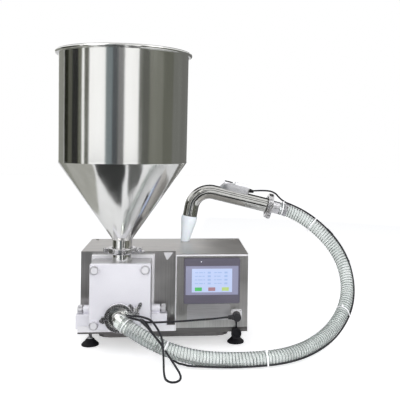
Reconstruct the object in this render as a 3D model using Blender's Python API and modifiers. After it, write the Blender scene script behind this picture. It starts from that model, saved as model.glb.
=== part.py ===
# Tabletop cake filling machine: a lobe pump fed by a conical hopper, driven by a worm
# gearmotor inside a stainless cabinet, with a hand nozzle on a ribbed hose.
# Units are metres, +Z is up, -Y is the front with the touch panel. The layout is written
# from the middle of the cabinet's front edge on the table, then set over the model's centre.

import math

import bmesh
import bpy
from mathutils import Matrix, Vector

# clearances and facet counts
GAP = 0.0003
OVERRUN = 0.002
EDGE = 0.0015
ROUND_STEPS = 20
SMALL_STEPS = 12
PIN_STEPS = 8
KNOB_STEPS = 16
WIDE_STEPS = 28
WELD = 0.00001

# cabinet
CABINET_DEPTH = 0.236
CABINET_TOP = 0.2225
PANEL_MARGIN = 0.01975
RECESS_DEPTH = 0.042
SHEET = 0.0015
LID_THICKNESS = 0.002
LID_SCREW_RADIUS = 0.0035
LID_SCREW_HEIGHT = 0.002
LID_SCREW_INSET = 0.016
BASE_UNDERSIDE = 0.038
BASE_THICKNESS = 0.0105
BASE_FLOOR = 0.002
PAN_INSET_X = 0.042
PAN_INSET_Y = 0.022
PAN_DROP = 0.016
PAN_CORNER = 0.030
PAN_FLOOR = 0.0015

# levelling feet
FOOT_INSET_X = 0.024
FOOT_FRONT = 0.040
FOOT_RADIUS = 0.0205
FOOT_RIM = 0.0035
FOOT_NECK_RADIUS = 0.0095
FOOT_NECK_HEIGHT = 0.0145
FOOT_COLLAR_RADIUS = 0.0070
FOOT_COLLAR_HEIGHT = 0.0165
FOOT_STEM_RADIUS = 0.0042
FOOT_STEM_HEIGHT = 0.0255
FOOT_NUT_RADIUS = 0.0078
FOOT_NUT_HEIGHT = 0.0060

# pump
PUMP_WIDTH = 0.136
PUMP_BOTTOM = 0.0627
PUMP_TOP = 0.2095
PUMP_FRONT = -0.052
COVER_THICKNESS = 0.0157
CASE_DEPTH = 0.0620
CASE_REAR_WALL = 0.0125
SHAFT_HEIGHT = 0.145
PITCH_RADIUS = 0.023
LOBES = 3
LOBE_STEPS = 6
LOBE_FIT_SHARE = 0.985
ROTOR_LENGTH = 0.0400
ROTOR_REAR_GAP = 0.0020
SHAFT_RADIUS = 0.0090
SHAFT_CAP_RADIUS = 0.0140
SHAFT_CAP_LENGTH = 0.0055
INLET_Y = -0.006
INLET_BORE = 0.0190
NECK_RADIUS = 0.0225
PORT_RADIUS = 0.0175
PORT_HEIGHT = 0.0936
OUTLET_PIPE_RADIUS = 0.0190
OUTLET_LENGTH = 0.0160
GASKET_WIDTH = 0.0030
GASKET_DEPTH = 0.0024
GASKET_INSET = 0.0065
GASKET_CUT_X = 0.017
GASKET_CUT_Z = 0.024
SEAL_RADIUS = 0.0157
SEAL_LENGTH = 0.0100
SHAFT_CLEARANCE = 0.0005
PLATE_WIDTH = 0.148
PLATE_TOP = 0.217

# cover knobs
KNOB_INSET = 0.0118
KNOB_RADIUS = 0.0100
KNOB_LENGTH = 0.0125
KNOB_SCREW_RADIUS = 0.0040
KNOB_SCREW_LENGTH = 0.0300

# gears, bearings and drive
MODULE = 0.002
TEETH = 23
GEAR_WIDTH = 0.018
GEAR_BACKLASH = 0.00025
FLANK_STEPS = 2
PRESSURE_ANGLE = math.radians(20)
DEDENDUM_SHARE = 1.25
GEARBOX_WIDTH = 0.130
GEAR_CASE_HEIGHT = 0.080
GEAR_CASE_DEPTH = 0.060
GEAR_CASE_FRONT_WALL = 0.016
GEAR_CAVITY_WIDTH = 0.106
GEAR_CAVITY_HEIGHT = 0.058
BEARING_RADIUS = 0.0170
BEARING_LENGTH = 0.0110
GEAR_SETBACK = 0.0045
DRIVE_SLOT_RADIUS = 0.020
FLANGE_THICKNESS = 0.008
WORM_BOX_WIDTH = 0.086
WORM_BOX_DEPTH = 0.066
WORM_BOX_HEIGHT = 0.096
WORM_CENTRES = 0.030
MOTOR_RADIUS = 0.035
MOTOR_LENGTH = 0.125
MOTOR_FLANGE_RADIUS = 0.040
MOTOR_FLANGE_LENGTH = 0.008
MOTOR_FIN_DEPTH = 0.0025
MOTOR_FINS = 3
DRIVER_THICKNESS = 0.040
DRIVER_LENGTH = 0.120
DRIVER_HEIGHT = 0.110
DRIVER_FRONT = 0.075
DRIVER_BOTTOM = 0.075

# side clamps that hold the pump head
BLOCK_WIDTH = 0.037
BLOCK_OVERHANG = 0.0048
BLOCK_SPACE = 0.0187
BLOCK_FRONT = 0.001
BLOCK_DEPTH = 0.025
BLOCK_TOP = 0.0827
BOSS_RADIUS = 0.0093
BOSS_HEIGHT = 0.0930
BOSS_LENGTH = 0.0195
SIDE_SCREW_RADIUS = 0.0040
SIDE_NECK_LENGTH = 0.0030
SIDE_KNOB_RADIUS = 0.0098
SIDE_KNOB_LENGTH = 0.0110

# hopper
HOPPER_RADIUS = 0.1480
HOPPER_FOOT_RADIUS = 0.1460
HOPPER_SHEET = 0.0015
HOPPER_TOP = 0.691
HOPPER_SEAM = 0.438
HOPPER_RIM = 0.0042
RIM_STEPS = 3
CONE_FOOT = 0.259
NECK_CLAMP_HEIGHT = 0.2335
HOPPER_STEPS = 36

# sanitary clamps
FERRULE_RADIUS = 0.02525
FERRULE_EDGE = 0.0026
FERRULE_SLOPE = 0.0012
CLAMP_RADIUS = 0.0330
CLAMP_WIDTH = 0.0130
HINGE_REACH = 0.0385
HINGE_RADIUS = 0.0048
HINGE_WIDTH = 0.0046
HINGE_PIN_RADIUS = 0.0020
EAR_REACH = 0.0460
EAR_CENTRE = 0.0392
EAR_THICKNESS = 0.0070
SPLIT = 0.0012
CLAMP_BOLT_RADIUS = 0.0030
CLAMP_BOLT_HEAD_RADIUS = 0.0050
CLAMP_BOLT_HEAD = 0.0040
NUT_RADIUS = 0.0066
NUT_HEIGHT = 0.0100
WING_REACH = 0.0150
WING_HEIGHT = 0.0190
WING_THICKNESS = 0.0036
WING_SHARES = ((0.20, 0.03), (0.38, 0.03), (0.54, 0.26), (0.82, 0.63), (1.0, 0.80),
               (0.93, 1.0), (0.70, 0.98), (0.48, 0.66), (0.20, 0.48))
OUTLET_EAR_ANGLE = math.radians(8)
NOZZLE_EAR_ANGLE = math.radians(-30)

# outlet elbow and hose
ELBOW_RADIUS = 0.0165
ELBOW_BEND = 0.0195
ELBOW_STRAIGHT = 0.0040
BARB_RADIUS = 0.0112
BARB_RIDGE = 0.0005
BARB_LENGTH = 0.018
BARB_RIDGES = 3
PIPE_WALL = 0.0020
ELBOW_STEPS = 6
HOSE_HEADING = (0.76, -0.45, -0.47)
HOSE_RADIUS = 0.0165
HOSE_RIB = 0.0011
HOSE_BORE = 0.0131
HOSE_RIBS = 95
HOSE_BORE_POINTS = 64
SPAN_PARTS = 24
HOSE_EASING = 40
HOSE_HELD = 4
HOSE_ROUTE = (
    (-0.018, -0.122, 0.052), (0.025, -0.128, 0.034),
    (0.080, -0.131, 0.0205), (0.144, -0.132, 0.0168), (0.213, -0.130, 0.0166),
    (0.278, -0.112, 0.0175), (0.343, -0.066, 0.0245), (0.398, -0.008, 0.041),
    (0.441, 0.050, 0.075), (0.460, 0.090, 0.113), (0.460, 0.122, 0.158),
    (0.443, 0.148, 0.205), (0.408, 0.169, 0.249), (0.364, 0.186, 0.2870))

# hand nozzle
NOZZLE_Y = 0.192
NOZZLE_PIPE_RADIUS = 0.0190
NOZZLE_WALL = 0.0015
TIP_FOOT_X = 0.0500
LEG_LEAN = math.radians(10)
LEG_LENGTH = 0.0935
TUBE_FALL = math.radians(13.5)
NOZZLE_BEND = 0.048
TUBE_LENGTH = 0.1535
BEND_STEPS = 9
TIP_LENGTH = 0.068
TIP_WALL = 0.0014
TIP_FOOT_RADIUS = 0.0110
TIP_OVERLAP = 0.006
NOZZLE_STEM_LENGTH = 0.0235
NOZZLE_STEM_RADIUS = 0.0165
NOZZLE_BARB_LENGTH = 0.018
SWITCH_START = 0.0130
SWITCH_LENGTH = 0.078
SWITCH_WIDTH = 0.024
SWITCH_HEIGHT = 0.0155
SWITCH_BOX_LENGTH = 0.040
SWITCH_BOX_HEIGHT = 0.0065
SWITCH_BOX_WIDTH = 0.018
BUTTON_LENGTH = 0.022
BUTTON_WIDTH = 0.009
BUTTON_HEIGHT = 0.0090
BUTTON_PROUD = 0.0040
BUTTON_TRAVEL = 0.0025
BUTTON_START = 0.0090
SADDLE_DEPTH = 0.008

# touch panel
PANEL_Z = 0.1597
PANEL_WIDTH = 0.132
PANEL_HEIGHT = 0.107
PANEL_PROUD = 0.0065
PANEL_CORNER = 0.004
PANEL_BODY_WIDTH = 0.118
PANEL_BODY_HEIGHT = 0.093
PANEL_BODY_DEPTH = 0.032
GLASS_WIDTH = 0.124
GLASS_HEIGHT = 0.068
GLASS_Z = 0.1610
GLASS_THICKNESS = 0.0012
GLASS_RECESS = 0.0002
CUT_MARGIN = 0.0006

# control socket, its plug and dust cap
SOCKET_INSET = 0.027
SOCKET_Z = 0.078
SOCKET_FLANGE = 0.0262
SOCKET_FLANGE_THICKNESS = 0.003
SOCKET_CORNER = 0.004
SOCKET_NOSE_RADIUS = 0.0078
SOCKET_NOSE_LENGTH = 0.0090
SOCKET_BODY_RADIUS = 0.0095
SOCKET_BODY_LENGTH = 0.020
SOCKET_BORE_RADIUS = 0.0060
PLUG_RADIUS = 0.0098
PLUG_LENGTH = 0.0290
PLUG_EXIT_RADIUS = 0.0045
PLUG_EXIT_REACH = 0.0210
PLUG_EXIT_SETBACK = 0.0190
CAP_RADIUS = 0.0120
CAP_WALL = 0.0030
CAP_DEPTH = 0.0080
CAP_FLOOR = 0.0020
CAP_DROP = 0.0423
STRAP_WIDTH = 0.0050
STRAP_THICKNESS = 0.0013
STRAP_TOP_DROP = 0.0112

# control cable, from the plug to the nozzle's switch
CABLE_RADIUS = 0.0023
CABLE_POINTS = 80
CABLE_ROUTE = (
    (0.118, -0.024, 0.0760), (0.083, -0.025, 0.0740), (0.025, -0.036, 0.0740),
    (-0.031, -0.066, 0.0820), (-0.057, -0.0885, 0.0950), (-0.0730, -0.1025, 0.1040),
    (-0.0765, -0.1165, 0.1115), (-0.064, -0.1280, 0.1140), (-0.046, -0.1280, 0.1120),
    (-0.024, -0.1280, 0.1030), (-0.007, -0.135, 0.0820), (0.000, -0.1430, 0.0660),
    (0.0025, -0.1515, 0.0480), (0.004, -0.161, 0.0270), (0.005, -0.172, 0.0110),
    (0.0075, -0.187, 0.0033), (0.012, -0.202, 0.0027), (0.0215, -0.2125, 0.0027),
    (0.033, -0.209, 0.0027), (0.0395, -0.194, 0.0027), (0.0385, -0.176, 0.0050),
    (0.030, -0.160, 0.0140), (0.018, -0.1505, 0.0290), (0.0085, -0.1467, 0.0425),
    (-0.005, -0.1390, 0.0600), (-0.018, -0.1335, 0.0740), (-0.032, -0.128, 0.0890),
    (-0.0450, -0.1180, 0.0985), (-0.047, -0.1020, 0.0990), (-0.038, -0.0880, 0.0880),
    (-0.025, -0.086, 0.0680), (-0.009, -0.092, 0.0430), (0.008, -0.096, 0.0210),
    (0.026, -0.104, 0.0080), (0.044, -0.120, 0.0035), (0.064, -0.142, 0.0027),
    (0.089, -0.1525, 0.0027), (0.144, -0.1535, 0.0027), (0.213, -0.1515, 0.0027),
    (0.284, -0.1325, 0.0030), (0.353, -0.083, 0.0110), (0.4085, -0.022, 0.0270),
    (0.4531, 0.0365, 0.0590), (0.4780, 0.083, 0.0995), (0.4825, 0.1185, 0.1470),
    (0.4675, 0.1455, 0.2025), (0.4290, 0.1685, 0.2575), (0.381, 0.184, 0.2995),
    (0.338, 0.191, 0.3250), (0.304, 0.192, 0.3430), (0.281, 0.192, 0.3555),
    (0.256, 0.192, 0.3580))

# mains inlet and switch on the back
INLET_INSET = 0.078
INLET_Z = 0.095
MAINS_WIDTH = 0.031
MAINS_HEIGHT = 0.058
MAINS_PROUD = 0.0030
MAINS_BODY_DEPTH = 0.030
MAINS_RIM = 0.0022
SOCKET_MOUTH_WIDTH = 0.024
SOCKET_MOUTH_HEIGHT = 0.017
SOCKET_MOUTH_DEPTH = 0.018
SOCKET_MOUTH_DROP = 0.014
ROCKER_RADIUS = 0.0105
ROCKER_WIDTH = 0.0130
ROCKER_RISE = 0.0150
ROCKER_SINK = 0.0060
ROCKER_TILT = math.radians(9)
ROCKER_STEPS = 10

# places worked out from the sizes above
PUMP_SPAN = PUMP_WIDTH + 2 * (BLOCK_WIDTH + GAP)
RECESS_WIDTH = PUMP_SPAN - BLOCK_OVERHANG + BLOCK_SPACE
CONTROL_WIDTH = PANEL_WIDTH + 2 * PANEL_MARGIN
CABINET_WIDTH = RECESS_WIDTH + CONTROL_WIDTH
CABINET_LEFT = -CABINET_WIDTH / 2
CABINET_RIGHT = CABINET_WIDTH / 2
PUMP_X = CABINET_LEFT - BLOCK_OVERHANG + PUMP_SPAN / 2
PANEL_X = CABINET_RIGHT - CONTROL_WIDTH / 2
SOCKET_X = CABINET_RIGHT - SOCKET_INSET
INLET_X = CABINET_RIGHT - INLET_INSET
CONTROL_LEFT = CABINET_RIGHT - CONTROL_WIDTH
BASE_TOP = BASE_UNDERSIDE + BASE_THICKNESS
WALL_BOTTOM = BASE_TOP + GAP
WALL_TOP = CABINET_TOP - LID_THICKNESS - GAP
COVER_BACK = PUMP_FRONT + COVER_THICKNESS
CASE_FRONT = COVER_BACK + GAP
CASE_BACK = CASE_FRONT + CASE_DEPTH
CHAMBER_BACK = CASE_BACK - CASE_REAR_WALL
PUMP_MIDDLE = (PUMP_TOP + PUMP_BOTTOM) / 2
PUMP_HEIGHT = PUMP_TOP - PUMP_BOTTOM
LOBE_RADIUS = PITCH_RADIUS * (1 + 1 / LOBES)
CHAMBER_RADIUS = LOBE_RADIUS + GAP
DRIVE_X = PUMP_X + PITCH_RADIUS
IDLER_X = PUMP_X - PITCH_RADIUS
PLATE_FRONT = CASE_BACK + GAP
PLATE_BACK = RECESS_DEPTH - GAP
GEAR_CASE_FRONT = RECESS_DEPTH + SHEET + GAP
GEAR_CASE_BACK = GEAR_CASE_FRONT + GEAR_CASE_DEPTH
GEAR_WALL_BACK = GEAR_CASE_FRONT + GEAR_CASE_FRONT_WALL
GEAR_FRONT = GEAR_WALL_BACK + GEAR_SETBACK
FLANGE_FRONT = GEAR_CASE_BACK + GAP
FLANGE_BACK = FLANGE_FRONT + FLANGE_THICKNESS
FERRULE_SEAT = GAP / 2
OUTLET_CLAMP_Y = PUMP_FRONT - OUTLET_LENGTH - FERRULE_SEAT
BLOCK_MIDDLE_Y = BLOCK_FRONT + BLOCK_DEPTH / 2
LID_BOTTOM = CABINET_TOP - LID_THICKNESS
REAR_FOOT = CABINET_DEPTH - FOOT_FRONT
RIM_REACH = HOPPER_RADIUS + 2 * HOPPER_RIM

# directions of the nozzle's leg and tube
LEG_UP = Vector((math.sin(LEG_LEAN), 0, math.cos(LEG_LEAN)))
TUBE_ALONG = Vector((math.cos(TUBE_FALL), 0, -math.sin(TUBE_FALL)))
TUBE_UP = Vector((math.sin(TUBE_FALL), 0, math.cos(TUBE_FALL)))
TIP_FOOT = Vector((TIP_FOOT_X, NOZZLE_Y, CABINET_TOP + GAP))
LEG_TOP = TIP_FOOT + LEG_UP * LEG_LENGTH
BEND_ANGLE = LEG_UP.angle(TUBE_ALONG)
BEND_REACH = NOZZLE_BEND * math.tan(BEND_ANGLE / 2)
TUBE_START = LEG_TOP + (LEG_UP + TUBE_ALONG) * BEND_REACH
TUBE_END = TUBE_START + TUBE_ALONG * TUBE_LENGTH
BARB_START = TUBE_END + TUBE_ALONG * (2 * FERRULE_EDGE + NOZZLE_STEM_LENGTH)
BARB_END = BARB_START + TUBE_ALONG * NOZZLE_BARB_LENGTH

# the model's own zero lies under the middle of everything but the hose and cable
LEFT_REACH = PUMP_X - RIM_REACH
FRONT_REACH = INLET_Y - RIM_REACH
RIGHT_REACH = BARB_END.x + BARB_RADIUS * math.sin(TUBE_FALL)
BACK_REACH = CABINET_DEPTH + MAINS_PROUD
MIDDLE = Vector((-(LEFT_REACH + RIGHT_REACH) / 2, -(FRONT_REACH + BACK_REACH) / 2, 0))

X_AXIS = Vector((1, 0, 0))
Y_AXIS = Vector((0, 1, 0))
Z_AXIS = Vector((0, 0, 1))

COLOURS = {
    "brushed_stainless": ((0.56, 0.55, 0.54), 1.0, 0.32),
    "polished_stainless": ((0.70, 0.70, 0.69), 1.0, 0.10),
    "satin_stainless": ((0.78, 0.78, 0.80), 1.0, 0.28),
    "cast_aluminium": ((0.60, 0.61, 0.62), 1.0, 0.45),
    "black_rubber": ((0.02, 0.02, 0.022), 0.0, 0.55),
    "black_plastic": ((0.03, 0.03, 0.035), 0.0, 0.40),
    "grey_plastic": ((0.17, 0.16, 0.20), 0.0, 0.45),
    "screen_glass": ((0.55, 0.68, 0.85), 0.0, 0.12),
    "white_plastic": ((0.86, 0.86, 0.88), 0.0, 0.38),
    "white_silicone": ((0.80, 0.80, 0.80), 0.0, 0.50),
    "clear_pvc": ((0.75, 0.80, 0.80), 0.0, 0.15),
    "painted_motor": ((0.10, 0.14, 0.20), 0.3, 0.45),
    "gear_steel": ((0.45, 0.45, 0.46), 1.0, 0.35),
}


def clear_scene():
    for old in list(bpy.data.objects):
        bpy.data.objects.remove(old, do_unlink=True)


def new_collection(name):
    group = bpy.data.collections.new(name)
    bpy.context.scene.collection.children.link(group)
    return group


def make_materials():
    made = {}
    for name, (colour, metallic, roughness) in COLOURS.items():
        material = bpy.data.materials.new(name)
        material.use_nodes = True
        shader = material.node_tree.nodes["Principled BSDF"]
        shader.inputs["Base Color"].default_value = (*colour, 1)
        shader.inputs["Metallic"].default_value = metallic
        shader.inputs["Roughness"].default_value = roughness
        made[name] = material
    return made


def link_mesh(name, mesh, group):
    piece = bpy.data.objects.new(name, mesh)
    group.objects.link(piece)
    piece.parent = FRAME
    return piece


def part(name, mesh, material, smooth=True):
    """Put a mesh in the machine's collection with its material."""
    piece = link_mesh(name, mesh, PARTS)
    mesh.materials.clear()
    mesh.materials.append(MATERIALS[material])
    if smooth:
        mesh.shade_smooth()
        mesh.set_sharp_from_angle(angle=math.radians(35))
    return piece


def tool(name, mesh):
    """Put a mesh that only cuts or joins in the collection of cutters."""
    piece = link_mesh(name, mesh, TOOLS)
    piece.hide_render = True
    piece.display_type = "WIRE"
    return piece


def boolean(piece, other, operation):
    step = piece.modifiers.new(other.name, "BOOLEAN")
    step.operation = operation
    step.solver = "EXACT"
    step.object = other


def cut(piece, *others):
    for other in others:
        boolean(piece, other, "DIFFERENCE")


def join(piece, *others):
    for other in others:
        boolean(piece, other, "UNION")


def bevel(piece, width, segments=1):
    step = piece.modifiers.new("Bevel", "BEVEL")
    step.width = width
    step.segments = segments
    step.limit_method = "ANGLE"
    step.angle_limit = math.radians(40)


def frame_along(direction, aside=None):
    """A rotation whose Z runs along a direction, with X as near to aside as it can be."""
    z = Vector(direction).normalized()
    hint = Vector(aside) if aside is not None else (X_AXIS if abs(z.x) < 0.9 else Y_AXIS)
    x = (hint - z * hint.dot(z)).normalized()
    y = z.cross(x)
    return Matrix((x, y, z)).transposed()


def place(piece, where, direction=Z_AXIS, aside=None):
    piece.location = where
    piece.rotation_mode = "QUATERNION"
    piece.rotation_quaternion = frame_along(direction, aside).to_quaternion()
    return piece


def box_mesh(name, size, centre=(0, 0, 0)):
    mesh = bpy.data.meshes.new(name)
    shape = bmesh.new()
    bmesh.ops.create_cube(shape, size=1)
    bmesh.ops.scale(shape, vec=Vector(size), verts=shape.verts)
    bmesh.ops.translate(shape, vec=Vector(centre), verts=shape.verts)
    shape.to_mesh(mesh)
    shape.free()
    return mesh


def box_between(low, high):
    low = Vector(low)
    high = Vector(high)
    return high - low, (low + high) / 2


def box_part(name, low, high, material, edge=0.0):
    size, centre = box_between(low, high)
    piece = place(part(name, box_mesh(name, size), material, smooth=False), centre)
    if edge:
        bevel(piece, edge)
    return piece


def box_tool(name, low, high):
    size, centre = box_between(low, high)
    return place(tool(name, box_mesh(name, size)), centre)


def rod_mesh(name, radius, length, steps=ROUND_STEPS, end_radius=None):
    """A cylinder or cone that starts at its origin and runs along Z."""
    mesh = bpy.data.meshes.new(name)
    shape = bmesh.new()
    top = radius if end_radius is None else end_radius
    bmesh.ops.create_cone(shape, cap_ends=True, segments=steps, radius1=radius,
                          radius2=top, depth=length,
                          matrix=Matrix.Translation((0, 0, length / 2)))
    shape.to_mesh(mesh)
    shape.free()
    return mesh


def rod_tool(name, start, direction, radius, length, steps=ROUND_STEPS, turned=False):
    """A round cutter; turned by half a facet, its corners miss those of a turned piece."""
    mesh = rod_mesh(name, radius, length, steps)
    if turned:
        mesh.transform(Matrix.Rotation(math.pi / steps, 4, "Z"))
    return place(tool(name, mesh), start, direction)


def turned_mesh(name, profile, steps=ROUND_STEPS):
    """Turn a closed profile of (radius, height) points, or one that ends on the axis."""
    mesh = bpy.data.meshes.new(name + "_profile")
    shape = bmesh.new()
    points = [shape.verts.new((radius, 0, height)) for radius, height in profile]
    for first, second in zip(points, points[1:]):
        shape.edges.new((first, second))
    if profile[0][0] > 0:
        shape.edges.new((points[-1], points[0]))
    shape.to_mesh(mesh)
    shape.free()
    guide = bpy.data.objects.new(name + "_profile", mesh)
    TOOLS.objects.link(guide)
    screw = guide.modifiers.new("Screw", "SCREW")
    screw.steps = steps
    screw.render_steps = steps
    screw.use_merge_vertices = True
    screw.merge_threshold = WELD
    screw.use_normal_calculate = True
    return mesh_of(guide, name)


def mesh_of(guide, name):
    """The evaluated mesh of a guide object, welded, with its faces pointing out."""
    bpy.context.view_layer.update()
    seen = guide.evaluated_get(bpy.context.evaluated_depsgraph_get())
    mesh = bpy.data.meshes.new_from_object(seen)
    mesh.name = name
    shape = bmesh.new()
    shape.from_mesh(mesh)
    bmesh.ops.remove_doubles(shape, verts=shape.verts, dist=WELD)
    bmesh.ops.recalc_face_normals(shape, faces=shape.faces)
    shape.to_mesh(mesh)
    shape.free()
    bpy.data.objects.remove(guide, do_unlink=True)
    return mesh


def sheet_mesh(name, outlines, thickness):
    """A flat plate along +Z from closed outlines; an outline inside another is a hole."""
    curve = bpy.data.curves.new(name, "CURVE")
    curve.dimensions = "2D"
    curve.fill_mode = "BOTH"
    curve.extrude = thickness / 2
    for outline in outlines:
        spline = curve.splines.new("POLY")
        spline.points.add(len(outline) - 1)
        spline.use_cyclic_u = True
        for point, (x, y) in zip(spline.points, outline):
            point.co = (x, y, 0, 1)
    guide = bpy.data.objects.new(name + "_outline", curve)
    TOOLS.objects.link(guide)
    mesh = mesh_of(guide, name)
    mesh.transform(Matrix.Translation((0, 0, thickness / 2)))
    return mesh


def tube_mesh(name, points, radii, resolution=2):
    """A round tube through points, with a radius at each and filled ends."""
    curve = bpy.data.curves.new(name, "CURVE")
    curve.dimensions = "3D"
    curve.bevel_depth = 1
    curve.bevel_resolution = resolution
    curve.use_fill_caps = True
    curve.twist_mode = "MINIMUM"
    spline = curve.splines.new("POLY")
    spline.points.add(len(points) - 1)
    for slot, point, radius in zip(spline.points, points, radii):
        slot.co = (*point, 1)
        slot.radius = radius
    guide = bpy.data.objects.new(name + "_path", curve)
    TOOLS.objects.link(guide)
    return mesh_of(guide, name)


def rounded_outline(width, height, radius, steps=3, centre=(0, 0)):
    points = []
    for turn, (sx, sy) in enumerate(((1, 1), (-1, 1), (-1, -1), (1, -1))):
        cx = centre[0] + sx * (width / 2 - radius)
        cy = centre[1] + sy * (height / 2 - radius)
        for step in range(steps + 1):
            angle = math.pi / 2 * (turn + step / steps)
            points.append((cx + radius * math.cos(angle), cy + radius * math.sin(angle)))
    return points


def curve_points(route, parts):
    """Points on a Catmull-Rom curve through a route, with a number of them for each span."""
    ends = [route[0] * 2 - route[1], *route, route[-1] * 2 - route[-2]]
    points = []
    for a, b, c, d in zip(ends, ends[1:], ends[2:], ends[3:]):
        for step in range(parts):
            t = step / parts
            points.append(0.5 * (2 * b + (c - a) * t + (2 * a - 5 * b + 4 * c - d) * t ** 2
                                 + (3 * b - a - 3 * c + d) * t ** 3))
    points.append(route[-1])
    return points


def even_points(line, count):
    """Evenly spaced points along a line."""
    reach = [0.0]
    for first, second in zip(line, line[1:]):
        reach.append(reach[-1] + (second - first).length)
    points = []
    index = 0
    for number in range(count):
        target = reach[-1] * number / (count - 1)
        while index < len(line) - 2 and reach[index + 1] < target:
            index += 1
        span = reach[index + 1] - reach[index]
        points.append(line[index].lerp(line[index + 1], (target - reach[index]) / span))
    return points


def relaxed(points, passes, held):
    """The same line with its bends eased, apart from the points held at each end."""
    for _ in range(passes):
        eased = list(points)
        for number in range(held, len(points) - held):
            eased[number] = (points[number - 1] + points[number + 1]) / 2
        points = eased
    return points


def arc_points(start, heading, end_heading, radius, steps):
    """Points of a bend that turns from one heading to another, its start left out."""
    heading = Vector(heading).normalized()
    end_heading = Vector(end_heading).normalized()
    angle = heading.angle(end_heading)
    side = (end_heading - heading * heading.dot(end_heading)).normalized()
    return [start + heading * radius * math.sin(angle * step / steps)
            + side * radius * (1 - math.cos(angle * step / steps))
            for step in range(1, steps + 1)]


def l_outline(inset):
    """The cabinet's plan: a recess at the left front and the control box at the right."""
    left = CABINET_LEFT + inset
    right = CABINET_RIGHT - inset
    return [(left, RECESS_DEPTH + inset), (CONTROL_LEFT + inset, RECESS_DEPTH + inset),
            (CONTROL_LEFT + inset, inset), (right, inset), (right, CABINET_DEPTH - inset),
            (left, CABINET_DEPTH - inset)]


def cabinet_shell():
    """Folded sheet walls, open below to the base and above to the lid."""
    mesh = sheet_mesh("cabinet_shell", [l_outline(0), l_outline(SHEET)],
                      WALL_TOP - WALL_BOTTOM)
    shell = place(part("cabinet_shell", mesh, "brushed_stainless", smooth=False),
                  (0, 0, WALL_BOTTOM))
    slot = sheet_mesh("drive_slot", [rounded_outline(
        2 * (PITCH_RADIUS + DRIVE_SLOT_RADIUS), 2 * DRIVE_SLOT_RADIUS,
        DRIVE_SLOT_RADIUS, steps=6)], SHEET + 2 * OVERRUN)
    cut(shell, place(tool("drive_slot", slot),
                     (PUMP_X, RECESS_DEPTH - OVERRUN, SHAFT_HEIGHT), Y_AXIS, X_AXIS))
    cut(shell, box_tool(
        "panel_opening",
        (PANEL_X - PANEL_BODY_WIDTH / 2 - CUT_MARGIN, -OVERRUN,
         PANEL_Z - PANEL_BODY_HEIGHT / 2 - CUT_MARGIN),
        (PANEL_X + PANEL_BODY_WIDTH / 2 + CUT_MARGIN, SHEET + OVERRUN,
         PANEL_Z + PANEL_BODY_HEIGHT / 2 + CUT_MARGIN)))
    cut(shell, rod_tool("socket_hole", (SOCKET_X, -OVERRUN, SOCKET_Z), Y_AXIS,
                        SOCKET_BODY_RADIUS + CUT_MARGIN, SHEET + 2 * OVERRUN))
    body_width = MAINS_WIDTH - 2 * MAINS_RIM
    body_height = MAINS_HEIGHT - 2 * MAINS_RIM
    cut(shell, box_tool(
        "mains_opening",
        (INLET_X - body_width / 2 - CUT_MARGIN, CABINET_DEPTH - SHEET - OVERRUN,
         INLET_Z - body_height / 2 - CUT_MARGIN),
        (INLET_X + body_width / 2 + CUT_MARGIN, CABINET_DEPTH + OVERRUN,
         INLET_Z + body_height / 2 + CUT_MARGIN)))


def cabinet_lid():
    """The flat top sheet, held by two screws near its back edge."""
    mesh = sheet_mesh("cabinet_lid", [l_outline(0)], LID_THICKNESS)
    lid = place(part("cabinet_lid", mesh, "brushed_stainless"), (0, 0, LID_BOTTOM))
    for side in (-1, 1):
        spot = (side * (CABINET_RIGHT - LID_SCREW_INSET), CABINET_DEPTH - LID_SCREW_INSET,
                CABINET_TOP - SHEET / 2)
        head = rod_mesh("lid_screw", LID_SCREW_RADIUS, LID_SCREW_HEIGHT + SHEET / 2, PIN_STEPS)
        join(lid, place(tool(f"lid_screw_{side}", head), spot))


def base_pan():
    """The folded base with a shallower pan under it that carries the drive."""
    low = (CABINET_LEFT, 0, BASE_UNDERSIDE)
    high = (CABINET_RIGHT, CABINET_DEPTH, BASE_TOP)
    base = box_part("base_pan", low, high, "brushed_stainless")
    pan_width = CABINET_WIDTH - 2 * PAN_INSET_X
    pan_depth = CABINET_DEPTH - 2 * PAN_INSET_Y
    middle_y = CABINET_DEPTH / 2
    pan = sheet_mesh("pan", [rounded_outline(pan_width, pan_depth, PAN_CORNER)],
                     PAN_DROP + BASE_FLOOR / 2)
    join(base, place(tool("pan", pan), (0, middle_y, BASE_UNDERSIDE - PAN_DROP)))
    tray = sheet_mesh("tray_hollow", [l_outline(BASE_THICKNESS / 2)], BASE_THICKNESS)
    cut(base, place(tool("tray_hollow", tray), (0, 0, BASE_UNDERSIDE + BASE_FLOOR)))
    hollow_depth = pan_depth - RECESS_DEPTH
    hollow = sheet_mesh("pan_hollow", [rounded_outline(
        pan_width - 2 * PAN_FLOOR, hollow_depth, PAN_CORNER - PAN_FLOOR)],
        PAN_DROP + BASE_THICKNESS)
    hollow_y = CABINET_DEPTH - PAN_INSET_Y - PAN_FLOOR - hollow_depth / 2
    cut(base, place(tool("pan_hollow", hollow),
                    (0, hollow_y, BASE_UNDERSIDE - PAN_DROP + PAN_FLOOR)))


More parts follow.
